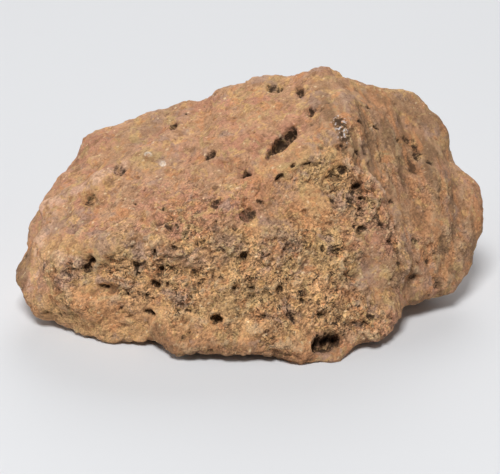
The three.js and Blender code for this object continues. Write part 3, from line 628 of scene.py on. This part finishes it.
SMALL_PITS = [  # the same for pits that only this finer skin can hold
    [-82, 24, 2, 0.8, 0.7, 160], [-171, 19, 1.1, 0.9, 0.9, 40], [-162, 7, 1.1, 0.8, 0.9, 40],  # top left
    [-150, 12, 1.1, 0.8, 0.8, 10], [-124, 10, 1.4, 0.7, 0.6, 150], [-137, 14, 1.7, 0.9, 0.9, 0],
    [-97, 11, 1.5, 1.3, 0.6, 0], [-53, 42, 1.3, 0.9, 0.8, 20], [-44, 39, 1.7, 1, 1, 0],
    [-146, -12, 1, 0.8, 0.7, 90], [-153, -8, 1, 0.8, 0.7, 90], [-150, -9, 0.9, 0.7, 0.6, 0],  # front left
    [-155, -20, 1.6, 1.1, 1.1, 0], [-133, -9, 1, 0.9, 0.8, 90], [-135, -15, 1, 0.9, 0.8, 0],
    [-138, -15, 1, 0.8, 0.7, 150], [-129, -16, 1.1, 0.8, 0.8, 0], [-127, -17, 0.9, 0.8, 0.8, 0],
    [-136, -19, 1.2, 0.9, 0.8, 60], [-123, -13, 1.2, 0.8, 0.8, 90], [-126, -8, 1.7, 1.3, 1.2, 0],
    [-121, 2, 1.7, 1, 1, 0], [-113, -20, 1.2, 0.9, 0.8, 0], [-111, -24, 1, 0.8, 0.8, 90],
    [-117, -23, 0.9, 0.9, 0.7, 0], [-113, -25, 1.1, 1, 0.8, 0], [-103, -28, 1, 0.8, 0.6, 0],
    [-102, -11, 1.2, 1.1, 1.1, 0], [-96, -14, 1.2, 1, 1, 70], [-77, -14, 1.6, 1.3, 1.3, 60],  # front
    [-74, -16, 0.9, 0.8, 0.8, 0], [-70, -15, 0.9, 0.8, 0.8, 0], [-84, -21, 1.3, 1, 0.9, 60],
    [-63, -21, 1.5, 1.2, 1.3, 0], [-59, -20, 0.9, 0.8, 0.7, 0], [-46, -21, 1.7, 1.2, 1.2, 120],  # toe
    [-40, -22, 1, 0.8, 0.7, 90], [-44, -19, 0.8, 0.8, 0.6, 0], [-49, -19, 0.9, 0.8, 0.6, 0],
    [-54, -2, 1.5, 1.1, 1, 90], [-31, 17, 1.1, 1, 0.9, 0], [-30, 14, 1.5, 0.9, 0.9, 150],  # by the ridge
    [-32, 10, 1.1, 0.9, 0.8, 0], [-39, 16, 1.8, 0.8, 0.8, 110], [-25, 38, 1.7, 1, 1, 0],
    [-37, 4, 1, 0.8, 0.7, 0], [-23, 0, 1, 0.9, 0.8, 0], [-28, -3, 1.8, 0.9, 0.8, 140],
    [-25, 16, 1.5, 0.8, 0.7, 110], [-20, 31, 2.4, 1, 0.9, 120], [-8, 39, 2.1, 0.9, 0.8, 120],  # right side
    [0, 32, 1.8, 0.9, 0.8, 130], [8, 38, 1.8, 0.8, 0.8, 130], [2, 23, 1.8, 0.9, 0.9, 120],
    [-18, 8, 1.6, 0.8, 0.8, 130], [0, 13, 2.1, 1, 0.8, 110], [-6, 4, 1.2, 1, 0.6, 0],
    [-21, -12, 1.1, 0.9, 0.8, 90], [-12, -10, 1.3, 0.9, 0.7, 90], [-18, -12, 2.1, 1, 0.8, 100],
    [-18, -18, 1.6, 1.1, 0.9, 0], [-14, -21, 1.4, 1, 0.9, 0],
]
UNSEEN_LONGITUDE, UNSEEN_LATITUDE = (20, 145), (-25, 50)
UNSEEN_PITS = [[12, 1.6, 4.4, 40], [34, 0.8, 2, 140]]  # number, least and greatest length mm, seed
WALL_WAVES = [[1.7, 0.2, 31], [0.8, 0.18, 32]]  # wavelength mm, share that the wall wanders, seed
LIGHTLESS = (3, 5)  # depths mm between which a pit turns from shaded to dark throughout


def unseen_pits(count, least, greatest, seed):
    """Rows like those of PITS for the back, with random places, sizes and turns. They are half as
    deep as long, and squaring makes the small ones common. The first lot is the solid's."""
    cell = np.stack([np.arange(count), np.zeros(count), np.zeros(count)], -1)
    a, b, c, d, e = (lattice_random(cell, seed + s) for s in (1, 2, 3, 4, 5))
    length = np.interp(c * c, (0, 1), (least, greatest))
    return np.stack([np.interp(a, (0, 1), UNSEEN_LONGITUDE), np.interp(b, (0, 1), UNSEEN_LATITUDE),
                     length, length * np.interp(d, (0, 1), (0.55, 0.95)), length / 2, 180 * e], -1)


def pit_frames(rows):
    """For each pit its middle on the skin and the unit vectors along it, across it and outward, the
    last from two neighbouring directions a small step to the east and to the north."""
    lon, lat, turn = rows[:, 0], rows[:, 1], np.radians(rows[:, 5])[:, None]
    u = directions(lon, lat)
    east = directions(lon + 90, 0 * lon)
    north = np.cross(u, east)
    step = 0.04
    here = to_size(skin(u))
    to_east, to_north = (
        to_size(skin((u + step * way) / np.linalg.norm(u + step * way, axis=1, keepdims=True))) - here
        for way in (east, north)
    )
    out = np.cross(to_east, to_north)
    out /= np.linalg.norm(out, axis=1, keepdims=True)
    along = east * np.cos(turn) + north * np.sin(turn)
    along -= (along * out).sum(1, keepdims=True) * out
    along /= np.linalg.norm(along, axis=1, keepdims=True)
    return here, along, np.cross(out, along), out


def dig(points, rows):
    """How deep the pits go at each point, and how far inside a pit it is: 0 outside, 1 at a middle
    and up to 1.6 in a pit so deep that no light comes back. The wall wanders by a smooth noise."""
    depth_here, inside = np.zeros(len(points)), np.zeros(len(points))
    wander = layered_noise(points, 1, WALL_WAVES)
    for row, middle_, along, across, out in zip(rows, *pit_frames(rows)):
        length, width, depth = row[2:5]
        x, y, z = ((points - middle_) @ axis for axis in (along, across, out))
        q = np.sqrt((2 * x / length) ** 2 + (2 * y / width) ** 2 + (z / length) ** 2) * wander
        profile = np.clip(1 - q**3, 0, None)
        depth_here = np.maximum(depth_here, depth * profile)
        share = min(1, 1.7 * depth / width) * np.interp(depth, LIGHTLESS, (1, 1.6))
        inside = np.maximum(inside, share * ramp(profile, 0.05, 0.65 - 0.07 * depth))
    return depth_here, inside


on_the_back = (unseen_pits(*lot) for lot in UNSEEN_PITS)
pit_rows = np.concatenate([np.array(PITS + SMALL_PITS, float), *on_the_back])
dug, in_pit = dig(bare, pit_rows)
print("pits:", len(pit_rows), "deepest, mm:", dug.max().round(2))

# %% [markdown]
# ## Pores
# Between the pits the surface is peppered with pores of half a millimetre to two. They are
# far too many to place one by one, so one dot in each lattice cell may become a pore, with a
# random width, and more of them do so on the crumbly faces.

# %% Pores
PORES = [[3.6, 1.9, 1.0, 81], [1.9, 1.1, 0.7, 91]]  # spacing, greatest width, greatest depth mm, seed


def pores(points, spacing, width, depth, seed, share):
    """Dimples (1 - q^2), q the distance from a dot over the pore's half-width, which is the
    greatest one times a random number squared and the share of crumbliness. The edge wanders."""
    near, name, _ = cell_distances(points / spacing, seed)
    half = width / 2 * (0.3 + 0.7 * name**2) * (0.55 + 0.45 * share)
    q = near * spacing / half * (1 + 0.45 * smooth_noise(points / 0.9, seed + 7))
    profile = np.clip(1 - q**2, 0, None) * (name > 0.3)
    return depth * half / (width / 2) * profile, profile


pored, in_pore = np.zeros(len(bare)), np.zeros(len(bare))
for spacing, width, depth, seed in PORES:
    d, inside = pores(front_place, spacing, width, depth, seed, share)
    pored, in_pore = pored + d, np.maximum(in_pore, inside)
print("share of the surface in pores:", (in_pore > 0.2).mean().round(3))

# %% [markdown]
# ## The finished skin
# All the fine heights are added along the normal of the bare skin. Where the stone rests, nothing
# may hang below the floor, so there the crumbs only cut inward.

# %% Put the stone together
height = small - dug - pored
fine = bare + outward * height[:, None]
fine[:, 2] = np.maximum(fine[:, 2], LOW[2])


def spread(values, times):
    """Average over the squares that meet at each point, done a number of times over."""
    count = np.bincount(squares.ravel())
    for _ in range(times):
        over_square = values[squares].mean(1)
        values = np.bincount(squares.ravel(), np.repeat(over_square, 4)) / count
    return values


SPREADS = 12  # how often the skin is averaged to give the surroundings of each point
uneven = small - pored
dip = spread(uneven, SPREADS) - uneven
print("dips against their surroundings, mm:", np.percentile(dip, (1, 50, 99)).round(2))

# %% [markdown]
# ## From arrays to an object
# Blender takes the arrays whole. Each mask rides along on the points for the finish to read.

# %% The stone's mesh

def make_piece(name, points, faces, places=None, masks=None):
    """A Blender object from arrays: points in mm, faces of four corners each, places on the flat
    picture for each face corner, and masks that hold one number for each point."""
    mesh = bpy.data.meshes.new(name)
    mesh.vertices.add(len(points))
    mesh.vertices.foreach_set("co", (points * MM).astype(np.float32).ravel())
    mesh.loops.add(faces.size)
    mesh.loops.foreach_set("vertex_index", faces.astype(np.int32).ravel())
    mesh.polygons.add(len(faces))
    mesh.polygons.foreach_set("loop_start", np.arange(0, faces.size, faces.shape[1], dtype=np.int32))
    mesh.update(calc_edges=True)
    mesh.shade_smooth()
    if places is not None:
        layer = mesh.uv_layers.new(name="OFBake")
        layer.uv.foreach_set("vector", places.astype(np.float32).ravel())
    for mask, values in (masks or {}).items():
        kind, field = ("FLOAT", "value") if values.ndim == 1 else ("FLOAT_VECTOR", "vector")
        layer = mesh.attributes.new(mask, kind, "POINT")
        layer.data.foreach_set(field, values.astype(np.float32).ravel())
    mesh.validate()
    piece = bpy.data.objects.new(name, mesh)
    bpy.context.scene.collection.objects.link(piece)
    return piece


stone = make_piece("stone_skin", fine, squares, flat_places,
                   {**stains, "crumbly": crumbly, "hollow": in_pit, "pore": in_pore, "crack": cracked,
                    "dip": dip, "side": on_side})
print("stone from", fine.min(0).round(2), "to", fine.max(0).round(2))

# %% [markdown]
# ## Tools for the finish
# A material is a small network of nodes. Written out by hand every node takes several lines, so one
# helper adds a node, sets its values and links its inputs. Effects that come back several times,
# such as flecks or grit, are node groups with named sockets.

# %% Node helpers


def colour(red, green, blue):
    """A screen colour of 0 to 255 as the linear colour that shaders work with."""
    c = np.array([red, green, blue]) / 255
    linear = np.where(c <= 0.04045, c / 12.92, ((c + 0.055) / 1.055) ** 2.4)
    return (*linear.tolist(), 1.0)


def add(tree, kind, inputs=None, **settings):
    """Adds a node of a kind to a tree. Inputs are named or numbered: an output socket is linked,
    anything else is set as the value."""
    node = tree.nodes.new(kind)
    for name, value in settings.items():
        setattr(node, name, value)
    for name, value in (inputs or {}).items():
        if isinstance(value, bpy.types.NodeSocket):
            tree.links.new(value, node.inputs[name])
        else:
            node.inputs[name].default_value = value
    return node


def maths(tree, operation, a, b=0.0, c=0.0, use_clamp=False):
    """One sum on one to three values. MULTIPLY_ADD gives a x b + c. The clamp keeps it in 0 to 1."""
    node = add(tree, "ShaderNodeMath", {0: a, 1: b, 2: c}, operation=operation, use_clamp=use_clamp)
    return node.outputs[0]


def mask_between(tree, value, start, end):
    """A mask that rises smoothly from 0 at start to 1 at end."""
    inputs = {"Value": value, "From Min": start, "From Max": end}
    return add(tree, "ShaderNodeMapRange", inputs, interpolation_type="SMOOTHSTEP").outputs["Result"]


def mixed(tree, share, first, second, blend="MIX"):
    """Two colours mixed by a share."""
    inputs = {0: share, 6: first, 7: second}
    return add(tree, "ShaderNodeMix", inputs, data_type="RGBA", blend_type=blend).outputs[2]


def noise(tree, place, size, detail=3.0, rough=0.55, twist=0.0):
    """Noise of 0 to 1 whose largest lumps are about size mm across."""
    inputs = {"Vector": place, "Scale": 1 / size, "Detail": detail, "Roughness": rough, "Distortion": twist}
    return add(tree, "ShaderNodeTexNoise", inputs).outputs["Fac"]


def new_group(name, inputs, outputs):
    """An empty node group with named sockets; gives the group, its input and its output node."""
    group = bpy.data.node_groups.new(name, "ShaderNodeTree")
    for in_out, sockets in (("INPUT", inputs), ("OUTPUT", outputs)):
        for socket, kind in sockets.items():
            group.interface.new_socket(socket, in_out=in_out, socket_type=f"NodeSocket{kind}")
    return group, group.nodes.new("NodeGroupInput"), group.nodes.new("NodeGroupOutput")


def use(tree, group, inputs):
    """Places a node group in a tree and gives its outputs by name."""
    return add(tree, "ShaderNodeGroup", inputs, node_tree=group).outputs


print("half grey on screen, as light:", round(colour(128, 128, 128)[0], 3))

# %% [markdown]
# ## Flecks
# Flecks are small spots scattered over the stone: grains of rust, olive and cream. A cell texture has
# one dot in each cell, so the distance to it, cut off at a random radius, gives round spots, and a
# noise added to the place makes them ragged.

# %% The fleck group
flecks, given, out = new_group("flecks", {"Place": "Vector", "Spacing": "Float", "Radius": "Float",
                                          "Share": "Float"}, {"Mask": "Float"})
ragged = add(flecks, "ShaderNodeTexNoise", {"Vector": given.outputs["Place"], "Scale": 1.7, "Detail": 2.0})
pushed = add(flecks, "ShaderNodeVectorMath", {0: ragged.outputs["Color"], 1: (0.7, 0.7, 0.7)},
             operation="MULTIPLY")
place = add(flecks, "ShaderNodeVectorMath", {0: given.outputs["Place"], 1: pushed.outputs[0]})
dots = add(flecks, "ShaderNodeTexVoronoi", {
    "Vector": place.outputs[0], "Scale": maths(flecks, "DIVIDE", 1.0, given.outputs["Spacing"])})
name_of_dot = add(flecks, "ShaderNodeSeparateColor", {"Color": dots.outputs["Color"]})
distance = maths(flecks, "MULTIPLY", dots.outputs["Distance"], given.outputs["Spacing"])
radius = maths(flecks, "MULTIPLY", given.outputs["Radius"],
               maths(flecks, "MULTIPLY_ADD", name_of_dot.outputs[1], 0.7, 0.3))
chosen = maths(flecks, "LESS_THAN", name_of_dot.outputs[0], given.outputs["Share"])
inner = maths(flecks, "MULTIPLY", radius, 0.45)
spot = mask_between(flecks, distance, radius, inner)
flecks.links.new(maths(flecks, "MULTIPLY", spot, chosen), out.inputs["Mask"])
print("nodes in the fleck group:", len(flecks.nodes))

# %% [markdown]
# ## Grit
# Under a millimetre the surface is grit: grains, chips and dust. Geometry that fine would need
# millions of faces, so a bump stands for it, with painted shade in the low places and a tone for
# each grain that is partly its own and partly painted light.

# %% The grit group
grit, given, out = new_group("grit", {"Place": "Vector", "Strength": "Float"},
                             {"Height": "Float", "Low": "Float", "Tone": "Float"})
lump = noise(grit, given.outputs["Place"], 1.6, detail=2.0, rough=0.6)
grain = noise(grit, given.outputs["Place"], 0.8, detail=2.0, rough=0.65)
dust = noise(grit, given.outputs["Place"], 0.33, detail=1.0, rough=0.6)
cells = add(grit, "ShaderNodeTexVoronoi", {"Vector": given.outputs["Place"], "Scale": 1 / 0.6},
            distance="CHEBYCHEV")
chip = maths(grit, "SUBTRACT", 0.6, cells.outputs["Distance"])
height_mm = maths(grit, "MULTIPLY_ADD", grain, 0.55, maths(grit, "MULTIPLY", chip, 0.2))
height_mm = maths(grit, "MULTIPLY_ADD", dust, 0.22, height_mm)
height_mm = maths(grit, "MULTIPLY_ADD", lump, 0.5, height_mm)
grit.links.new(maths(grit, "MULTIPLY", height_mm, given.outputs["Strength"]), out.inputs["Height"])
# the low places between grains, which later get painted shade
low = mask_between(grit, height_mm, 0.62, 0.46)
grit.links.new(maths(grit, "MULTIPLY", low, given.outputs["Strength"]), out.inputs["Low"])
# tone of each grain: partly its own, partly painted light on its facets
tone = add(grit, "ShaderNodeSeparateColor", {"Color": cells.outputs["Color"]})
tone = maths(grit, "MULTIPLY_ADD", tone.outputs[0], 0.35, maths(grit, "MULTIPLY_ADD", dust, 1.3, -0.82))
grit.links.new(tone, out.inputs["Tone"])
print("nodes in the grit group:", len(grit.nodes))

# %% [markdown]
# ## The stone's colours
# Rust gave the stone its tan and pink, and its golden, olive, orange and purplish parts. A painted
# picture could hold them all, but plain colours that masks and noises mix can be changed one by one
# and stay sharp however close one looks.

# %% The colours of the stone
TAN = colour(186, 143, 108)
PINK = colour(184, 132, 104)
BROWN = colour(146, 107, 75)
# brown of the painted shade, and of the real dark streaks down the right side
SHADE_AND_STREAK_BROWN = colour(126, 95, 68)
# near black of the painted shade, and of the real black grains at the metal spot
SHADE_AND_BLACK_GRAIN = colour(52, 36, 22)
PALE = colour(228, 200, 160)
# silver of the painted glint at the metal spot
PAINTED_GLINT = colour(205, 205, 208)
ZONES = {
    # golden, also used as painted light under the crease and low on the left of the front
    "golden": colour(204, 160, 106),
    # grey, also used as painted shade on the left knob and the upper left crest
    "grey_and_painted_shade": colour(158, 124, 92),
    "rusted": colour(190, 132, 88),
    "purpled": colour(158, 128, 110),
    "olived": colour(186, 154, 106),
    # pale, for the crests and for painted light under the crease
    "pale_and_painted_light": colour(216, 176, 150),
    "cream": colour(238, 226, 210),
}
print("zones that the stain mixes in:", ", ".join(ZONES))

# %% [markdown]
# ## Where the finish is read
# The pattern runs through the stone, so it is read at the place in space, where no seam can cut it.
# The place is taken to millimetres, which makes every size below a real size. Drawn out along the
# grain it gives longer patterns, and much longer ones for the streaks that run down the right side.

# %% Places and masks
STREAK_SQUEEZE = 0.75  # makes the right side's streaks 1 / (1 - 0.75) = 4 times as long as wide


def drawn_out(tree, place, way, squeeze):
    """The place turned so that its X runs along way, with X shortened by the share squeeze."""
    x, y, z = way
    turn = (0.0, -float(np.arctan2(z, np.hypot(x, y))), float(np.arctan2(y, x)))
    inputs = {"Vector": place, "Rotation": turn, "Scale": (1 / (1 - squeeze), 1, 1)}
    return add(tree, "ShaderNodeMapping", inputs, vector_type="TEXTURE").outputs["Vector"]


def places_and_masks(tree):
    """The place in mm as it is, drawn out along the front's grain and drawn out along the right
    side's streaks, and the masks that ride on the points, all by name."""
    here = add(tree, "ShaderNodeTexCoord").outputs["Object"]
    here = add(tree, "ShaderNodeMapping", {"Vector": here, "Scale": (1 / MM,) * 3}).outputs["Vector"]
    place = {
        "here": here,
        "grain": drawn_out(tree, here, FRONT_GRAIN, FRONT_SQUEEZE),
        "streaks": drawn_out(tree, here, SIDE_GRAIN, STREAK_SQUEEZE),
    }
    names = ("crumbly", "hollow", "pore", "crack", "dip", "side", *STAINS)
    mask = {name: add(tree, "ShaderNodeAttribute", attribute_name=name).outputs["Fac"] for name in names}
    return place, mask


def by_side(tree, place, mask, size, detail, rough):
    """Noise drawn out along the front's grain, and on the right side along its streaks."""
    front, side = (noise(tree, place[name], size, detail, rough) for name in ("grain", "streaks"))
    return add(tree, "ShaderNodeMix", {0: mask["side"], 2: front, 3: side}).outputs[0]


print("streaks are drawn out", 1 / (1 - STREAK_SQUEEZE), "times")

# %% [markdown]
# ## Zones, patches, streaks and flecks
# The stain is laid like coats of paint. Tan and pink come first, then the zones painted above, then
# smaller patches of the same colours that no zone holds, brown blotches, the painted shade, the
# streaks of the right side and last the flecks. Each coat covers only a share of the one under it.

# %% The stain
ZONE_SHARE, PATCH_SHARE = 0.6, 0.75  # how much a zone or a patch covers at most
PATCHES = [[4.6, "purpled"], [3.4, "olived"], [2.8, "rusted"], [2.1, "golden"]]  # size mm, colour
STREAKS = [  # size mm, noise value where a streak begins, share that it covers, colour
    [3.0, 0.5, 0.7, SHADE_AND_STREAK_BROWN],
    [2.2, 0.54, 0.6, ZONES["rusted"]],
]
FLECKS = [  # spacing mm, greatest radius mm, share of the dots, share that a fleck covers, colour
    [2.6, 0.8, 0.3, 0.4, ZONES["rusted"]],
    [1.4, 0.5, 0.4, 0.5, ZONES["olived"]],
    [1.0, 0.36, 0.45, 0.6, PALE],
]
FEWER_ON_SIDE = 0.6  # share of a fleck's colour that is missing on the right side


def stained(tree, place, mask):
    """The colour of the stain. A zone shows where its mask plus a noise passes a threshold."""
    here = place["here"]
    ragged = noise(tree, here, 3.2, 5.0, 0.7)

    def zone_share(name):
        """How much of a zone's colour shows, with a ragged edge."""
        edge = maths(tree, "MULTIPLY_ADD", ragged, 1.4, maths(tree, "SUBTRACT", mask[name], 1.0))
        return maths(tree, "MULTIPLY", mask_between(tree, edge, -0.15, 0.45), ZONE_SHARE)

    stain = mixed(tree, mask_between(tree, noise(tree, here, 7.0, 4.0, 0.6), 0.42, 0.6), TAN, PINK)
    for name, zone in ZONES.items():
        stain = mixed(tree, zone_share(name), stain, zone)
    for size, name in PATCHES:
        patch = mask_between(tree, noise(tree, here, size, 3.0, 0.6, 0.5), 0.54, 0.66)
        stain = mixed(tree, maths(tree, "MULTIPLY", patch, PATCH_SHARE), stain, ZONES[name])
    browned = mask_between(tree, by_side(tree, place, mask, 2.0, 3.0, 0.65), 0.5, 0.68)
    stain = mixed(tree, maths(tree, "MULTIPLY", browned, PATCH_SHARE), stain, BROWN)
    # painted shade on the places that get less light
    stain = mixed(tree, zone_share("shaded"), stain, SHADE_AND_STREAK_BROWN)
    for size, start, covers, streak_colour in STREAKS:
        streak = mask_between(tree, noise(tree, place["streaks"], size, 2.0, 0.5), start, start + 0.12)
        streak = maths(tree, "MULTIPLY", streak, mask["side"])
        stain = mixed(tree, maths(tree, "MULTIPLY", streak, covers), stain, streak_colour)
    for spacing, radius, number, covers, fleck_colour in FLECKS:
        inputs = {"Place": place["grain"], "Spacing": spacing, "Radius": radius, "Share": number}
        spot = use(tree, flecks, inputs)["Mask"]
        shown = maths(tree, "MULTIPLY_ADD", mask["side"], -FEWER_ON_SIDE * covers, covers)
        stain = mixed(tree, maths(tree, "MULTIPLY", spot, shown), stain, fleck_colour)
    return stain


print("coats: tan and pink,", len(ZONES), "zones,", len(PATCHES), "patches, brown, shade,",
      len(STREAKS), "streaks,", len(FLECKS), "flecks")

# %% [markdown]
# ## Grains
# On the crumbly parts each grain catches the light its own way. That light is painted: the grit's
# lighter and darker grains, partly of their own tone, multiply the stain, the stronger the more
# crumbly the place is. Places that stand above their surroundings turn paler, and a wide soft mottle
# keeps large parts from looking even.

# %% Grit over the stain
GRIT_ON_WORN = 0.2  # strength of the grit on the worn faces
GRIT_ON_CRUMBLY, GRIT_ON_SIDE = 0.85, -0.1  # what crumbliness and the right side add to it
GRAIN_CONTRAST, MOTTLE_CONTRAST, CREST_SHARE = 2.1, 0.9, 0.3


def gritted(tree, place, mask, stain):
    """The stain times 1 + grains + mottle, the grains partly painted light, with pale crests where the
    skin stands above its surroundings; then the grit's low places and its height."""
    strength = maths(tree, "MULTIPLY_ADD", mask["side"], GRIT_ON_SIDE, GRIT_ON_WORN)
    strength = maths(tree, "MULTIPLY_ADD", mask["crumbly"], GRIT_ON_CRUMBLY, strength)
    gritty = use(tree, grit, {"Place": place["grain"], "Strength": strength})
    mottle = maths(tree, "SUBTRACT", noise(tree, place["here"], 4.5, 4.0, 0.7), 0.5)
    grains = maths(tree, "MULTIPLY", gritty["Tone"], maths(tree, "MULTIPLY", strength, GRAIN_CONTRAST))
    shade = maths(tree, "ADD", grains, maths(tree, "MULTIPLY_ADD", mottle, MOTTLE_CONTRAST, 1.0))
    stain = mixed(tree, 1.0, stain, shade, "MULTIPLY")
    raised = mask_between(tree, mask["dip"], -0.05, -0.5)
    stain = mixed(tree, maths(tree, "MULTIPLY", raised, CREST_SHARE), stain, PALE)
    return stain, gritty["Low"], gritty["Height"]


print("strength of the grit:", GRIT_ON_WORN, "to", GRIT_ON_WORN + GRIT_ON_CRUMBLY)

# %% [markdown]
# ## Dark places
# Little light reaches between grains, into dips, pores and cracks down to the width of a hair, and
# hardly any comes back out of a pit. So all these places get painted shade, with some dirt in the
# pits, and dark specks stand for the shadows of crumbs. The darkest of these decides at each place. A
# noise keeps the shade crumbly, apart from the one hole so deep that it is dark throughout.

# %% Dark places
# painted shade in pits, pores and cracks, with some dirt in the pits
SHADE_IN_HOLLOWS = {"hollow": 0.95, "pore": 0.65, "crack": 0.8}  # how dark each is at most
LOW_DARK, DIP_DARK, DEEP_DARK = 0.6, 0.5, 0.9  # the same for the grit's lows, dips and the deep hole


def dark_places(tree, place, mask, low):
    """How much painted shade each place gets, from 0 to 1: the greatest of all its reasons to be dark."""
    here = place["here"]
    clump = mask_between(tree, noise(tree, here, 8.0, 2.0, 0.6), 0.38, 0.6)
    clumped = maths(tree, "MULTIPLY", mask["crumbly"], maths(tree, "MULTIPLY_ADD", clump, 0.65, 0.3))
    # dark specks: painted shadows of crumbs
    specks = mask_between(tree, by_side(tree, place, mask, 1.3, 5.0, 0.8), 0.6, 0.68)
    specks = maths(tree, "MULTIPLY", specks, maths(tree, "ADD", clumped, 0.12))
    dark = maths(tree, "MAXIMUM", maths(tree, "MULTIPLY", low, LOW_DARK), specks)
    dipped = mask_between(tree, mask["dip"], 0.05, 0.7)
    dark = maths(tree, "MAXIMUM", dark, maths(tree, "MULTIPLY", dipped, DIP_DARK))
    # painted shade in hair cracks: lines where a noise passes its middle value, in short stretches
    line = maths(tree, "ABSOLUTE", maths(tree, "SUBTRACT", noise(tree, here, 2.4, 4.0, 0.6, 0.6), 0.5))
    line = maths(tree, "MULTIPLY", mask_between(tree, line, 0.03, 0.008), mask["crumbly"])
    short = mask_between(tree, noise(tree, here, 1.9, 1.0, 0.5), 0.5, 0.58)
    dark = maths(tree, "MAXIMUM", dark, maths(tree, "MULTIPLY", line, short))
    crumbs = maths(tree, "SUBTRACT", 0.5, noise(tree, here, 0.9, 3.0, 0.7))
    broken = maths(tree, "MULTIPLY_ADD", crumbs, 1.6, 0.95, use_clamp=True)
    for name, greatest in SHADE_IN_HOLLOWS.items():
        rim = maths(tree, "MULTIPLY_ADD", crumbs, 3.0, mask[name])
        hollow_shade = maths(tree, "MULTIPLY", mask_between(tree, rim, 0.1, 1.1), greatest)
        dark = maths(tree, "MAXIMUM", dark, maths(tree, "MULTIPLY", hollow_shade, broken))
    deep = maths(tree, "MULTIPLY", mask_between(tree, mask["hollow"], 1.0, 1.35), DEEP_DARK)
    return maths(tree, "MAXIMUM", dark, deep)


print("darkest of the fillings:", max(SHADE_IN_HOLLOWS, key=SHADE_IN_HOLLOWS.get))

# %% [markdown]
# ## The finished material
# The coats come together here. The spot of bare metal is black and silver grains, the silver a
# painted glint, the grit's height becomes a bump, and the surface is dull, as dry rock is.

# %% The stone material
# black grains of the metal spot, and the silver of its painted glint
GLINTS = [[SHADE_AND_BLACK_GRAIN, 0.52, 0.46], [PAINTED_GLINT, 0.56, 0.6]]  # colour, noise values where it begins and is full
GLINT_SHARE = 0.85


def stone_material():
    """Stain, grit and dark places in this order, mixed on the way to one Base Color."""
    material = bpy.data.materials.new("weathered chondrite")
    material.use_nodes = True
    tree = material.node_tree
    shader = tree.nodes["Principled BSDF"]
    place, mask = places_and_masks(tree)
    stain, low, height = gritted(tree, place, mask, stained(tree, place, mask))
    # the painted shade is mixed in here
    stain = mixed(tree, dark_places(tree, place, mask, low), stain, SHADE_AND_BLACK_GRAIN)
    sparkle = noise(tree, place["here"], 0.9, 2.0, 0.7)
    for glint_colour, start, end in GLINTS:
        spot = maths(tree, "MULTIPLY", mask["glinting"], mask_between(tree, sparkle, start, end))
        stain = mixed(tree, maths(tree, "MULTIPLY", spot, GLINT_SHARE), stain, glint_colour)
    tree.links.new(stain, shader.inputs["Base Color"])
    bump = add(tree, "ShaderNodeBump", {"Height": height, "Distance": MM, "Strength": 1.0})
    tree.links.new(bump.outputs["Normal"], shader.inputs["Normal"])
    shader.inputs["Roughness"].default_value = 0.85
    shader.inputs["Specular IOR Level"].default_value = 0.35
    print("nodes in the finish:", len(tree.nodes))
    return material


stone.data.materials.append(stone_material())
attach(stone, "root")
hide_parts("stone")

# %% [markdown]
# ## Sheet, light and camera
# The stone lies on a plain pale sheet, between a soft light in front and over it and one behind. Two
# weak ones lift the shadows at its sides. The camera stands off with a long lens and looks down on
# the broken front, so that the crumbly face and the worn top both show.

# %% Floor
FLOOR_SIDE = 6.0  # m


def floor_material():
    """A dull, nearly white sheet."""
    material = bpy.data.materials.new("pale sheet")
    material.use_nodes = True
    shader = material.node_tree.nodes["Principled BSDF"]
    shader.inputs["Base Color"].default_value = colour(214, 215, 217)
    shader.inputs["Roughness"].default_value = 0.95
    shader.inputs["Specular IOR Level"].default_value = 0.1
    return material


half = FLOOR_SIDE / MM / 2
edge = np.linspace(-half, half, 9)
x, y = np.meshgrid(edge, edge, indexing="ij")
sheet = np.stack([x, y, np.zeros_like(x)], -1).reshape(-1, 3)
n = np.arange(sheet.shape[0]).reshape(x.shape)
tiles = np.stack([n[:-1, :-1], n[1:, :-1], n[1:, 1:], n[:-1, 1:]], -1).reshape(-1, 4)
floor = make_piece("floor_sheet", sheet, tiles)
floor.data.materials.append(floor_material())
print("sheet, m:", FLOOR_SIDE, "tiles:", len(tiles))

# %% Lights
world = bpy.data.worlds.new("soft room")
bpy.context.scene.world = world
world.use_nodes = True
world.node_tree.nodes["Background"].inputs["Color"].default_value = (0.95, 0.98, 1.05, 1.0)
world.node_tree.nodes["Background"].inputs["Strength"].default_value = 0.08


def soft_light(name, place, aim, side, power):
    """A square light of a side in metres at a place, turned to an aim."""
    lamp = bpy.data.lights.new(name, "AREA")
    lamp.shape, lamp.size, lamp.energy = "SQUARE", side, power
    light = bpy.data.objects.new(name, lamp)
    bpy.context.scene.collection.objects.link(light)
    light.location = place
    way = Vector(aim) - light.location
    light.rotation_euler = way.to_track_quat("-Z", "Y").to_euler()


MIDDLE = (0, 0, 0.02)  # m, the middle of the stone
LIGHTS = {  # place m, side m, power W
    "front": [(-0.08, -0.48, 0.90), 0.32, 9.3],
    "back": [(0.10, 0.82, 0.56), 0.6, 5.1],
    "left": [(-0.9, -0.1, 0.36), 0.6, 2.0],
    "right": [(0.75, -0.45, 0.40), 0.6, 0.6],
}
for name, (where, side, power) in LIGHTS.items():
    soft_light(name, where, MIDDLE, side, power)
print("lights:", ", ".join(LIGHTS))

# %% Camera
AIM = (-0.0004, -0.0028, 0.0133)  # m, the point that the camera looks at
DISTANCE, ELEVATION = 0.402, np.radians(27)  # m from that point, and how high over it
LENS, SENSOR = 144, 36  # mm
camera = bpy.data.objects.new("camera", bpy.data.cameras.new("camera"))
bpy.context.scene.collection.objects.link(camera)
camera.data.lens, camera.data.sensor_width = LENS, SENSOR
camera.location = np.array(AIM) + DISTANCE * np.array([0, -np.cos(ELEVATION), np.sin(ELEVATION)])
camera.rotation_euler = (np.pi / 2 - ELEVATION, 0, 0)
camera.data.clip_start, camera.data.clip_end = 0.01, 20
bpy.context.scene.camera = camera
bpy.context.scene.view_settings.view_transform = "Standard"
print("camera at, m:", camera.location.to_tuple(3))
